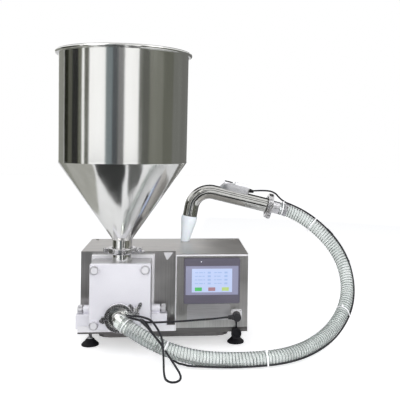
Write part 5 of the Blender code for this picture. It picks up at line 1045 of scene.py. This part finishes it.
def clamp_jaw(shape, sign, where):
    """Half of a clamp in its own frame: ear towards +X, hinge towards -X."""
    half = CLAMP_WIDTH / 2
    seat = FERRULE_EDGE + FIT
    inner = FERRULE_RADIUS - FERRULE_SLOPE
    groove = FERRULE_RADIUS + 2 * FIT
    section = round_off(((inner, half), (CLAMP_RADIUS - 0.0008, half),
                         (CLAMP_RADIUS, half - 0.0025), (CLAMP_RADIUS, 0.0025 - half),
                         (CLAMP_RADIUS - 0.0008, -half), (inner, -half), (inner, -seat),
                         (groove, -seat), (groove, seat), (inner, seat)), 0.0006, 2, True)
    spare = SPLIT / 2 / FERRULE_RADIUS
    start = spare if sign > 0 else math.pi + spare
    lathe(shape, section, where, 40, start, math.pi - 2 * spare)
    near, far = sorted((sign * SPLIT / 2, sign * (EAR_THICKNESS + SPLIT / 2)))
    lug = HINGE_WIDTH / 2 if sign < 0 else half - EAR_INSET
    block(shape, (CLAMP_RADIUS - 0.002, near, EAR_INSET - half),
          (EAR_REACH, far, half - EAR_INSET), where, 0.0013, 3)
    # The front jaw has a hinge lug at each side, and the back one's lug fits between them.
    for face in ((-1, 1) if sign > 0 else (0,)):
        low, high = ((-lug, lug) if not face
                     else sorted((face * (HINGE_WIDTH / 2 + FIT), face * lug)))
        block(shape, (-HINGE_REACH, near, low), (0.003 - CLAMP_RADIUS, far, high), where,
              0.0004)
        lathe(shape, puck(HINGE_RADIUS, 0, high - low, 0.0005),
              where @ Matrix.Translation((-HINGE_REACH, 0, low)), 28)
    if sign > 0:
        lathe(shape, puck(PIN_RADIUS, 0, CLAMP_WIDTH - 2 * PIN_INSET, 0.0004),
              where @ Matrix.Translation((-HINGE_REACH, 0, -half + PIN_INSET)), 16)


def clamp_bolt(shape, where):
    """The swing bolt, threaded, in the clamp's frame."""
    seat = EAR_THICKNESS + SPLIT / 2 + FIT
    thread = []
    for number in range(BOLT_TURNS):
        height = -seat + BOLT_PITCH * number
        thread += [(BOLT_RADIUS - 0.0003, height), (BOLT_RADIUS, height + BOLT_PITCH / 2)]
    radius, height = BOLT_HEAD
    head = round_off(((0, -seat - height), (radius, -seat - height), (radius, -seat)), 0.001)
    lathe(shape, [*head, *thread, (0, seat + NUT_HEIGHT + 0.003)],
          where @ stand((EAR_CENTRE, 0, 0), Y_AXIS), 20)


def wing_nut(shape, where):
    """The winged nut in the clamp's frame; its wings stand in the plane of ear and bolt."""
    along = where @ stand((EAR_CENTRE, NUT_SEAT, 0), Y_AXIS, X_AXIS)
    lathe(shape, round_off(((0, 0), (NUT_RADIUS, 0), (NUT_RADIUS - 0.0003, 0.0022),
                            (NUT_RADIUS - 0.0015, NUT_HEIGHT), (0, NUT_HEIGHT)), 0.0008),
          along, 40)
    upright = along @ Matrix.Rotation(math.pi / 2, 4, "X")
    upright = upright @ Matrix.Translation((0, 0, -WING_THICKNESS / 2))
    for side in (-1, 1):
        outline = round_off([(side * x * WING_REACH, z * WING_HEIGHT) for x, z in WING],
                            0.0018, 3, True)
        slab = bmesh.new()
        flat(slab, outline[::side], WING_THICKNESS, Matrix(), WING_EDGE, 3)
        bmesh.ops.recalc_face_normals(slab, faces=slab.faces)
        back = [face for face in slab.faces if face.normal.z < -0.9 and len(face.verts) > 8]
        bmesh.ops.bevel(slab, geom=[line for face in back for line in face.edges],
                        offset=WING_EDGE, segments=3, affect="EDGES", profile=0.5)
        slab.transform(upright)
        loose = bpy.data.meshes.new("wing")
        slab.to_mesh(loose)
        slab.free()
        shape.from_mesh(loose)
        bpy.data.meshes.remove(loose)


def sanitary_clamp(name, where, body, nut_body, bolt_apart=True):
    """A whole clamp: its jaws and bolt ride on a body, its nut on its own."""
    for label, sign in (("front", 1), ("back", -1)):
        shape = bmesh.new()
        clamp_jaw(shape, sign, where)
        piece(f"{name}_jaw_{label}", shape, cast_steel, body, f"{name}_clamp_{label}",
              sharp=50)
    shape = bmesh.new()
    clamp_bolt(shape, where)
    nodes = [f"{name}_clamp_bolt"] if bolt_apart else []
    piece(f"{name}_swing_bolt", shape, cast_steel, body, *nodes)
    shape = bmesh.new()
    wing_nut(shape, where)
    piece(f"{name}_winged_nut", shape, cast_steel, nut_body, f"{name}_wing_nut", sharp=50)


OUTLET_EAR = math.radians(8)
OUTLET_Y = -0.06815
sanitary_clamp("neck", stand(at(PUMP_X, HOPPER_Y, NECK_Z), -Z_AXIS, X_AXIS), "cabinet",
               "neck_nut")
sanitary_clamp("outlet", stand(at(PUMP_X, OUTLET_Y, ELBOW_START.z), -Y_AXIS,
                               X_AXIS * math.cos(OUTLET_EAR) + Z_AXIS * math.sin(OUTLET_EAR)),
               "cabinet", "outlet_nut")

# Outlet elbow: a close bend of polished stainless pipe with a clamp flange and a barbed
# tail, which the hose is pushed over. A smooth clear PVC cuff is shrunk over the joint, and
# a white nylon ring holds the cuff's end.
ELBOW_RADIUS = 0.0155
ELBOW_LAP = 0.0010
BARB_RADIUS = 0.0112
BARB_RIDGE = 0.0005
CUFF_BORE = HOSE_RADIUS + 0.0001
CUFF_WALL = 0.0010
CUFF_RINGS = 8
CUFF_SIDES = 48
CUFF_OVERLAP = 0.010
RING_PROUD = 0.0019
RING_HALF = 0.0008
smooth_pvc = grained("clear PVC, smooth", "clear_pvc", 0.0, 6.0, "#E9EEEC", "#F8FAF9",
                     (0.03, 0.08), 0.01, Transmission_Weight=0.95, IOR=1.45)


def barbs(length):
    """The profile of a barbed tail, from its root."""
    found = [(BARB_RADIUS, 0)]
    for number in range(3):
        root = length * number / 3
        found += [(BARB_RADIUS + BARB_RIDGE, root + length / 9),
                  (BARB_RADIUS, root + length / 3)]
    return found


elbow_line = [HOME + point for point in (
    ELBOW_START - Y_AXIS * ELBOW_LAP, elbow_bend_start,
    *arc(elbow_bend_start, -Y_AXIS, HOSE_HEADING, ELBOW_BEND, 3 * ELBOW_STEPS), elbow_end)]
shape = bmesh.new()
tube(shape, elbow_line, ELBOW_RADIUS, 56)
lathe(shape, [(0, 0), (FERRULE_RADIUS, 0), (FERRULE_RADIUS, FERRULE_EDGE - FERRULE_SLOPE),
              (ELBOW_RADIUS + 0.0012, FERRULE_EDGE), (0, FERRULE_EDGE)],
      stand(HOME + ELBOW_START, -Y_AXIS), 56)
lathe(shape, [(0, 0), *barbs(NOZZLE_BARB), (0, NOZZLE_BARB)],
      stand(HOME + elbow_end, HOSE_HEADING), 40)
piece("elbow_pipe", shape, polished_steel, "cabinet", "outlet_elbow", sharp=45)

cuff_line = [*elbow_line[-CUFF_RINGS:],
             *[HOME + elbow_end + HOSE_HEADING * CUFF_OVERLAP * step / 3 for step in (1, 2, 3)]]
cuff_course = list(zip(cuff_line, carried(cuff_line)))
cuff_turns = [math.tau * step / CUFF_SIDES for step in range(CUFF_SIDES)]
shape = bmesh.new()
skin(shape, [[around(point, side, up, angle, radius) for angle in cuff_turns]
             for radius, course in ((CUFF_BORE + CUFF_WALL, cuff_course),
                                    (CUFF_BORE, cuff_course[::-1]))
             for point, (ahead, side, up) in course], joined=True)
piece("elbow_cuff", shape, smooth_pvc, "cabinet")
shape = bmesh.new()
lathe(shape, washer(CUFF_BORE + CUFF_WALL, CUFF_BORE + RING_PROUD, -RING_HALF, RING_HALF,
                    0.0003), stand(cuff_line[-1], HOSE_HEADING), 64)
piece("cuff_ring", shape, white_nylon, "cabinet")

# Nozzle: a bent 38 mm stainless pipe, mirror-polished, with a clamp flange at its tail.
# Narrow pipe mirrors its surroundings in thin bright and dark lines.
PIPE_WALL = 0.0015
TIP_LENGTH = 0.068
TIP_OVERLAP = 0.006
pipe_steel = grained("stainless steel pipe, mirror-polished", "polished_stainless", 1.0, 12.0,
                     "#BEBEBB", "#DADAD7", (0.05, 0.13), 0.08, detail=1.5)
pipe_foot = LEG_TOP - LEG_UP * (LEG_LENGTH - TIP_LENGTH + TIP_OVERLAP)
pipe_line = [HOME + point for point in (
    pipe_foot, *[pipe_foot.lerp(LEG_TOP, n / 4) for n in range(1, 5)],
    *arc(LEG_TOP, LEG_UP, TUBE_ALONG, NOZZLE_BEND, 28),
    *[TUBE_START.lerp(TUBE_END, n / 6) for n in range(1, 6)],
    TUBE_END - TUBE_ALONG * FERRULE_SLOPE)]
shape = bmesh.new()
tube(shape, pipe_line, PIPE_RADIUS, 72, caps=False)
tube(shape, pipe_line, PIPE_RADIUS - PIPE_WALL, 48, caps=False)
lathe(shape, [(PIPE_RADIUS - PIPE_WALL, 0), (FERRULE_RADIUS, 0),
              (FERRULE_RADIUS, FERRULE_EDGE - FERRULE_SLOPE),
              (PIPE_RADIUS + 0.0004, FERRULE_EDGE), (PIPE_RADIUS - 0.0004, FERRULE_EDGE * 1.6)],
      stand(HOME + TUBE_END, -TUBE_ALONG), 64)
piece("nozzle_pipe", shape, pipe_steel, "nozzle", "nozzle_tube", sharp=50)

# Tip: turned white acetal, pushed over the pipe and cut level at its mouth. Acetal is
# smooth, waxy and a little translucent.
TIP_FOOT_RADIUS = 0.0110
TIP_WALL = 0.0014
TIP_MOUTH = 0.006
TIP_SIDES = 64
TIP_STEPS = 12
white_acetal = grained("white acetal, turned", "white_plastic", 0.0, (3.0, 3.0, 0.8),
                       "#F4F4F9", "#FCFCFF", (0.3, 0.44), 0.02, Subsurface_Weight=0.15)


def tip_ring(share, radius, level):
    """A ring of the tip; level goes from 1 at the mouth, cut flat, to 0 square to the leg."""
    centre = HOME + TIP_FOOT + LEG_UP * TIP_LENGTH * share
    side = Vector((LEG_UP.z, 0, -LEG_UP.x)).lerp(X_AXIS, level)
    return [centre + side * radius * math.cos(math.tau * step / TIP_SIDES)
            + Y_AXIS * radius * math.sin(math.tau * step / TIP_SIDES)
            for step in range(TIP_SIDES)]


tip_lip = PIPE_RADIUS + FIT + TIP_WALL
taper = 1 - 2 * TIP_OVERLAP / TIP_LENGTH
rows = [tip_ring(0, TIP_FOOT_RADIUS - 0.0004, 1), tip_ring(TIP_MOUTH, TIP_FOOT_RADIUS, 1)]
for step in range(1, TIP_STEPS + 1):
    share = TIP_MOUTH + (taper - TIP_MOUTH) * step / TIP_STEPS
    swell = (tip_lip - TIP_FOOT_RADIUS) * (share / taper)
    rows.append(tip_ring(share, TIP_FOOT_RADIUS + swell, 1 - step / TIP_STEPS))
rows += [tip_ring(taper + 0.012, tip_lip + 0.0001, 0), tip_ring(0.992, tip_lip, 0),
         tip_ring(1.0, tip_lip - 0.0005, 0), tip_ring(1.0, tip_lip - TIP_WALL, 0),
         tip_ring(taper, tip_lip - TIP_WALL, 0),
         tip_ring(taper - 0.01, PIPE_RADIUS - PIPE_WALL, 0),
         tip_ring(0, TIP_FOOT_RADIUS - TIP_WALL, 1)]
shape = bmesh.new()
skin(shape, rows, caps=False, joined=True)
piece("tip_cone", shape, white_acetal, "nozzle", "nozzle_tip", sharp=45)

# Hose tail of the nozzle: turned stainless, a flange, a stem and barbs, held to the pipe by
# a third sanitary clamp.
BORE = BARB_RADIUS - 0.002
NOZZLE_EAR = math.radians(-30)
tail = [(BORE, FIT), (FERRULE_RADIUS, FIT),
        (FERRULE_RADIUS, FIT + FERRULE_EDGE - FERRULE_SLOPE),
        (0.0175, FIT + FERRULE_EDGE), (0.0165, 0.0062), (0.0165, NOZZLE_STEM - 0.0010),
        (0.0155, NOZZLE_STEM)]
tail += [(radius, NOZZLE_STEM + height) for radius, height in barbs(NOZZLE_BARB)]
shape = bmesh.new()
lathe(shape, [*tail, (BORE, NOZZLE_STEM + NOZZLE_BARB)], stand(HOME + TUBE_END, TUBE_ALONG),
      56)
piece("nozzle_tail", shape, turned_steel, "nozzle", "nozzle_barb")
sanitary_clamp("nozzle", stand(HOME + (TUBE_END + TUBE_ALONG * FIT / 2), -TUBE_ALONG,
                               -Y_AXIS * math.cos(NOZZLE_EAR)
                               + TUBE_UP * math.sin(NOZZLE_EAR)),
               "nozzle", "nozzle_nut", bolt_apart=False)

# Worm clip: a slotted stainless band drawn tight round the hose's end on the nozzle's barbs
# by a screw in its housing.
CLIP_NUMBER = HOSE_RINGS - 19
CLIP_REACH = HOSE_RADIUS + 0.0003
CLIP_HALF = 0.0045
CLIP_SHEET = 0.0008
CLIP_SLOTS = 26
clip_place = stand(hose_points[CLIP_NUMBER], hose_frames[CLIP_NUMBER][0], -Y_AXIS)
shape = bmesh.new()
lathe(shape, washer(CLIP_REACH, CLIP_REACH + CLIP_SHEET, -CLIP_HALF, CLIP_HALF, 0.0003),
      clip_place, 72)
for tooth in range(CLIP_SLOTS):
    block(shape, (CLIP_REACH + 0.0006, -0.0003, -0.0028),
          (CLIP_REACH + 0.0011, 0.0003, 0.0028),
          clip_place @ Matrix.Rotation(math.radians(24 + tooth * 5.2), 4, "Z"))
block(shape, (CLIP_REACH, -0.0065, -0.0050), (CLIP_REACH + 0.0062, 0.0065, 0.0050),
      clip_place, 0.0020, 3)
lathe(shape, [(0, 0), (0.0034, 0), (0.0034, 0.0046), (0, 0.0046)],
      clip_place @ stand((CLIP_REACH + 0.0034, 0.0060, 0), Y_AXIS), 6)
piece("worm_clip", shape, zinc_steel, "nozzle", sharp=30)

# Switch: a cast saddle on the pipe with a rounded nose, a black press bar sunk in its front
# and a small white box behind it that the cable goes into.
SWITCH_WIDTH = 0.024
SQUARENESS = 0.36
# Sections of the saddle from its nose: a share of the length, of the width and of the rise.
SADDLE = ((0, 0.55, 0.15), (0.03, 0.66, 0.42), (0.09, 0.80, 0.70), (0.18, 0.92, 0.90),
          (0.30, 1.0, 1.0), (0.94, 1.0, 1.0), (0.985, 0.96, 0.96), (1.0, 0.90, 0.90))
DECK = PIPE_RADIUS + SWITCH_HEIGHT
BUTTON_START = 0.0090
BUTTON_SIZE = (0.022, 0.009, 0.009)
BUTTON_PROUD = 0.004
BUTTON_RIBS = 5
FRAME_SPARE = 0.0022
SWITCH_RELIEF = ((0, 0), (0.0058, 0), (0.0054, 0.004), (0.0036, 0.014), (0, 0.014))
saddle_steel = grained("stainless steel, cast and satin-polished", "satin_stainless", 1.0, 1.6,
                       "#D0D0D4", "#F4F4F6", (0.24, 0.38), 0.01)
black_nylon = grained("black nylon, moulded", "black_plastic", 0.0, 1.2, "#141416", "#27272B",
                      (0.34, 0.52), 0.04)
on_pipe = Matrix((TUBE_ALONG, Y_AXIS, TUBE_UP)).transposed().to_4x4()
on_pipe.translation = HOME + SWITCH_BASE
rows = []
for share, across, rise in SADDLE:
    half = SWITCH_WIDTH / 2 * across
    top = PIPE_RADIUS + SWITCH_HEIGHT * rise
    foot = math.sqrt(PIPE_RADIUS ** 2 - half ** 2) + FIT
    ring = []
    for step in range(25):
        turn = math.pi * step / 24
        ring.append((half * math.copysign(abs(math.cos(turn)) ** SQUARENESS, math.cos(turn)),
                     foot + (top - foot) * abs(math.sin(turn)) ** SQUARENESS))
    for step in range(1, 8):
        y = -half + 2 * half * step / 8
        ring.append((y, math.sqrt((PIPE_RADIUS + FIT) ** 2 - y ** 2)))
    rows.append([on_pipe @ Vector((SWITCH_LENGTH * share, y, z)) for y, z in ring])
shape = bmesh.new()
skin(shape, rows)
piece("switch_saddle", shape, saddle_steel, "nozzle", "switch_housing", sharp=50)
shape = bmesh.new()
block(shape, (BUTTON_START - FRAME_SPARE, -0.0068, DECK - 0.003),
      (BUTTON_START + BUTTON_SIZE[0] + FRAME_SPARE, 0.0068, DECK + 0.0009), on_pipe, 0.0008, 3)
piece("button_frame", shape, white_nylon, "nozzle")
shape = bmesh.new()
block(shape, (SWITCH_LENGTH - 0.0415, -0.009, DECK - 0.0015),
      (SWITCH_LENGTH - 0.0015, 0.009, DECK + 0.0065), on_pipe, 0.0022, 4)
piece("switch_box", shape, white_nylon, "nozzle")
shape = bmesh.new()
block(shape, (BUTTON_START, -BUTTON_SIZE[1] / 2, DECK + BUTTON_PROUD - BUTTON_SIZE[2]),
      (BUTTON_START + BUTTON_SIZE[0], BUTTON_SIZE[1] / 2, DECK + BUTTON_PROUD), on_pipe,
      0.0014, 4)
for rib in range(BUTTON_RIBS):
    x = BUTTON_START + 0.005 + 0.003 * rib
    block(shape, (x - 0.0005, -0.0034, DECK + BUTTON_PROUD - 0.0006),
          (x + 0.0005, 0.0034, DECK + BUTTON_PROUD), on_pipe)
piece("press_bar", shape, black_nylon, "fill_button", "nozzle_button")
shape = bmesh.new()
lathe(shape, round_off(SWITCH_RELIEF, 0.0008),
      stand(HOME + CABLE_END - TUBE_ALONG * 0.0006, TUBE_ALONG), 28)
piece("switch_relief", shape, black_rubber, "nozzle")

# Touch panel: a moulded ABS bezel clamped through the cabinet's front, with a glass front
# printed grey round its picture. The picture is a plain page of bars and three keys.
PANEL_X = 0.11225
PANEL_PROUD = 0.0065
GLASS = (0.124, 0.068)
GLASS_Z = 0.1610
GLASS_SHEET = 0.0012
GLASS_PROUD = 0.0002
PICTURE = (0.095, 0.0555)
ROW_Z = (0.0185, 0.0100, 0.0015, -0.0070)
ROW_WORDS = ((-0.0405, (0.008, 0.011, 0.005)), (0.0050, (0.006, 0.012)))
ROW_FIELDS = (-0.0105, 0.0290)
FIELD_WIDTH = 0.0075
WORD_GAP = 0.0018
KEYS = (("green", -0.0320, "#4FA860"), ("red", -0.0005, "#94727A"),
        ("yellow", 0.0315, "#A5BB74"))
KEY_SIZE = (0.0165, 0.0085)
KEY_Z = -0.0205
grey_abs = grained("dark grey ABS, moulded", "grey_plastic", 0.0, 0.9, "#4C4956", "#5C5965",
                   (0.38, 0.54), 0.04)
dress(grey_abs, "panel_housing")
soften_edges(0.0006, "panel_housing")
panel_face = stand(at(PANEL_X, GLASS_PROUD - PANEL_PROUD, GLASS_Z), -Y_AXIS, X_AXIS)


def lit(name, colour, strength, slot="screen_glass"):
    """A glass in one colour that glows: lit from behind, or printed, where the glow is painted
    light.
    """
    made = plain(name, slot, Base_Color=linear(colour), Roughness=0.15, IOR=1.5,
                 Emission_Color=linear(colour), Emission_Strength=strength)
    tree = made.node_tree
    spot = add(tree, "ShaderNodeTexCoord", {}, {})
    dots = add(tree, "ShaderNodeTexNoise", {"Scale": 900.0, "Detail": 1.0},
               {"Vector": spot.outputs["Object"]})
    gloss = add(tree, "ShaderNodeMapRange", {"To Min": 0.1, "To Max": 0.2},
                {"Value": dots.outputs["Fac"]})
    tree.links.new(gloss.outputs["Result"],
                   tree.nodes["Principled BSDF"].inputs["Roughness"])
    return made


# The printed grey pane glows faintly with nothing lit behind it: a painted glow.
shape = bmesh.new()
flat(shape, rounded(*GLASS, 0.0008), GLASS_SHEET,
     panel_face @ Matrix.Translation((0, 0, -GLASS_SHEET)), 0.0002)
piece("panel_pane", shape, lit("screen glass, printed grey", "#85869D", 0.04), "cabinet",
      "panel_glass")
shape = bmesh.new()
flat(shape, rounded(*PICTURE, 0.0002), 0.00006, panel_face)
piece("screen_picture", shape, lit("screen, lit pale blue", "#A7B4D2", 0.14), "cabinet")
shape = bmesh.new()
for row, z in enumerate(ROW_Z):
    for x, words in ROW_WORDS:
        for number, width in enumerate(words):
            width *= 1 - 0.16 * ((row + number) % 3)
            block(shape, (x, z - 0.0011, 0), (x + width, z + 0.0011, 0.00010), panel_face)
            x += width + WORD_GAP
    for x in ROW_FIELDS:
        block(shape, (x, z - 0.0022, 0), (x + FIELD_WIDTH, z + 0.0022, 0.00009), panel_face)
piece("screen_rows", shape, lit("screen, lit slate blue", "#93A6CC", 0.10), "cabinet")
for label, x, tone in KEYS:
    shape = bmesh.new()
    flat(shape, rounded(*KEY_SIZE, 0.0008, centre=(x, KEY_Z)), 0.00012, panel_face)
    piece(f"screen_key_{label}", shape, lit(f"screen, lit {label}", tone, 0.12), "cabinet")
shape = bmesh.new()
lathe(shape, [(0, -0.0002), (0.0011, -0.0002), (0.0010, 0.0003), (0, 0.0005)],
      stand(at(0.0865, -PANEL_PROUD, 0.2050), -Y_AXIS), 20)
piece("panel_light", shape, lit("clear indicator lens", "#E8E8F2", 0.5, "white_plastic"),
      "cabinet")

# Control socket: a square nickel-plated flange held by four screws, and the cable's angled
# plug in black nylon with a knurled ring. Its rubber cap hangs from a strap.
FLANGE = 0.0262
SOCKET_MOUTH = ((0, 0), (0.0078, 0), (0.0078, 0.0090), (0.0060, 0.0090), (0.0060, 0.0020),
                (0, 0.0020))
SOCKET_BODY = ((0, 0), (0.0095, 0), (0.0095, 0.019), (0, 0.019))
SOCKET_SCREW = ((0, 0.0024), (0.0014, 0.0024), (0.0013, 0.0034), (0.0005, 0.0036),
                (0.0004, 0.0031), (0, 0.0031))
SOCKET_SCREW_REACH = 0.0102
nickel = grained("nickel-plated brass, satin", "polished_stainless", 0.55, 1.5,
                 "#E6E5E9", "#F8F7F9", (0.24, 0.38), 0.02)
socket_face = stand(at(SOCKET_X, -FIT, SOCKET_Z), -Y_AXIS, X_AXIS)
shape = bmesh.new()
flat(shape, rounded(FLANGE, FLANGE, 0.004), 0.003, socket_face, 0.0007, 3)
lathe(shape, SOCKET_MOUTH, socket_face, 40)
lathe(shape, SOCKET_BODY, stand(at(SOCKET_X, 0, SOCKET_Z), Y_AXIS), 32)
piece("socket_flange", shape, nickel, "cabinet", "control_socket")
shape = bmesh.new()
for sx in (-1, 1):
    for sz in (-1, 1):
        lathe(shape, SOCKET_SCREW, socket_face @ Matrix.Translation(
            (sx * SOCKET_SCREW_REACH, sz * SOCKET_SCREW_REACH, 0)), 16)
piece("socket_screws", shape, zinc_steel, "cabinet")

PLUG_RING = ((0.0081, 0.0040), (0.0096, 0.0036), (0.0098, 0.0046), (0.0098, 0.0120),
             (0.0092, 0.0130), (0.0081, 0.0130))
PLUG_HEAD = ((0, 0.0095), (0.0090, 0.0095), (0.0092, 0.0150), (0.0096, 0.0170),
             (0.0096, 0.0290), (0.0070, 0.0322), (0, 0.0326))
PLUG_ARM = ((0, 0.004), (0.0066, 0.004), (0.0066, 0.0110), (0.0052, 0.0125),
            (0.0044, 0.0210), (0, 0.0210))
plug_place = stand(at(SOCKET_X, 0, SOCKET_Z), -Y_AXIS, X_AXIS)
exit_place = stand(at(SOCKET_X, PLUG_Y, SOCKET_Z), -X_AXIS)
shape = bmesh.new()
lathe(shape, PLUG_RING, plug_place, 120,
      wave=lambda angle: 1 - 0.016 * (1 - math.cos(30 * angle)))
lathe(shape, round_off(PLUG_HEAD, 0.0015), plug_place, 48)
lathe(shape, round_off(PLUG_ARM, 0.0006), exit_place, 36)
# Three ribs on the plug's arm let the cable bend where it leaves.
for ring in range(3):
    height = 0.0135 + 0.0022 * ring
    radius = 0.0052 - 0.0002 * ring
    lathe(shape, [(0.0040, height), (radius, height + 0.0002), (radius, height + 0.0010),
                  (0.0040, height + 0.0012)], exit_place, 28)
piece("plug_body", shape, black_nylon, "cabinet", "cable_plug", sharp=45)

CAP_DROP = 0.0423
CAP = ((0, 0), (0.0120, 0), (0.0120, 0.0080), (0.0090, 0.0080), (0.0090, 0.0020),
       (0, 0.0020))
CAP_BEAD = ((0.0106, 0.0030), (0.0123, 0.0030), (0.0123, 0.0044), (0.0106, 0.0044))
# The strap's drop below the socket and half its width there, from the flange to the cap.
STRAP = ((0.0112, 0.0025), (0.0160, 0.0019), (0.0230, 0.0017), (0.0300, 0.0020),
         (0.0330, 0.0028))
STRAP_HALF = 0.00065
cap_place = stand(at(SOCKET_X, -0.0036, SOCKET_Z - CAP_DROP), -Y_AXIS, X_AXIS)
shape = bmesh.new()
lathe(shape, round_off(CAP, 0.0008), cap_place, 56)
lathe(shape, CAP_BEAD, cap_place, 56)
skin(shape, [[at(SOCKET_X, -0.00425, SOCKET_Z - drop) + Vector((sx * wide, sy * STRAP_HALF, 0))
              for sx, sy in ((-1, -1), (1, -1), (1, 1), (-1, 1))] for drop, wide in STRAP])
piece("hanging_cap", shape, black_rubber, "socket_cap", "dust_cap")

# Mains inlet and switch: a moulded nylon unit snapped into the back, with three bright
# contact pins in its mouth and a rocker above them.
PIN_SPOTS = ((0.120, 0.085), (0.113, 0.079), (0.127, 0.079))
PIN_HALF = (0.001, 0.002)
PIN_Y = (CABINET_DEPTH - 0.0146, CABINET_DEPTH + 0.0006)
dress(black_nylon, "mains_inlet", "power_rocker")
soften_edges(0.0006, "mains_inlet")
soften_edges(0.0004, "power_rocker")
shape = bmesh.new()
for x, z in PIN_SPOTS:
    block(shape, (x - PIN_HALF[0], PIN_Y[0], z - PIN_HALF[1]),
          (x + PIN_HALF[0], PIN_Y[1], z + PIN_HALF[1]), HOME_PLACE, 0.0005)
piece("inlet_pins", shape, nickel, "cabinet")
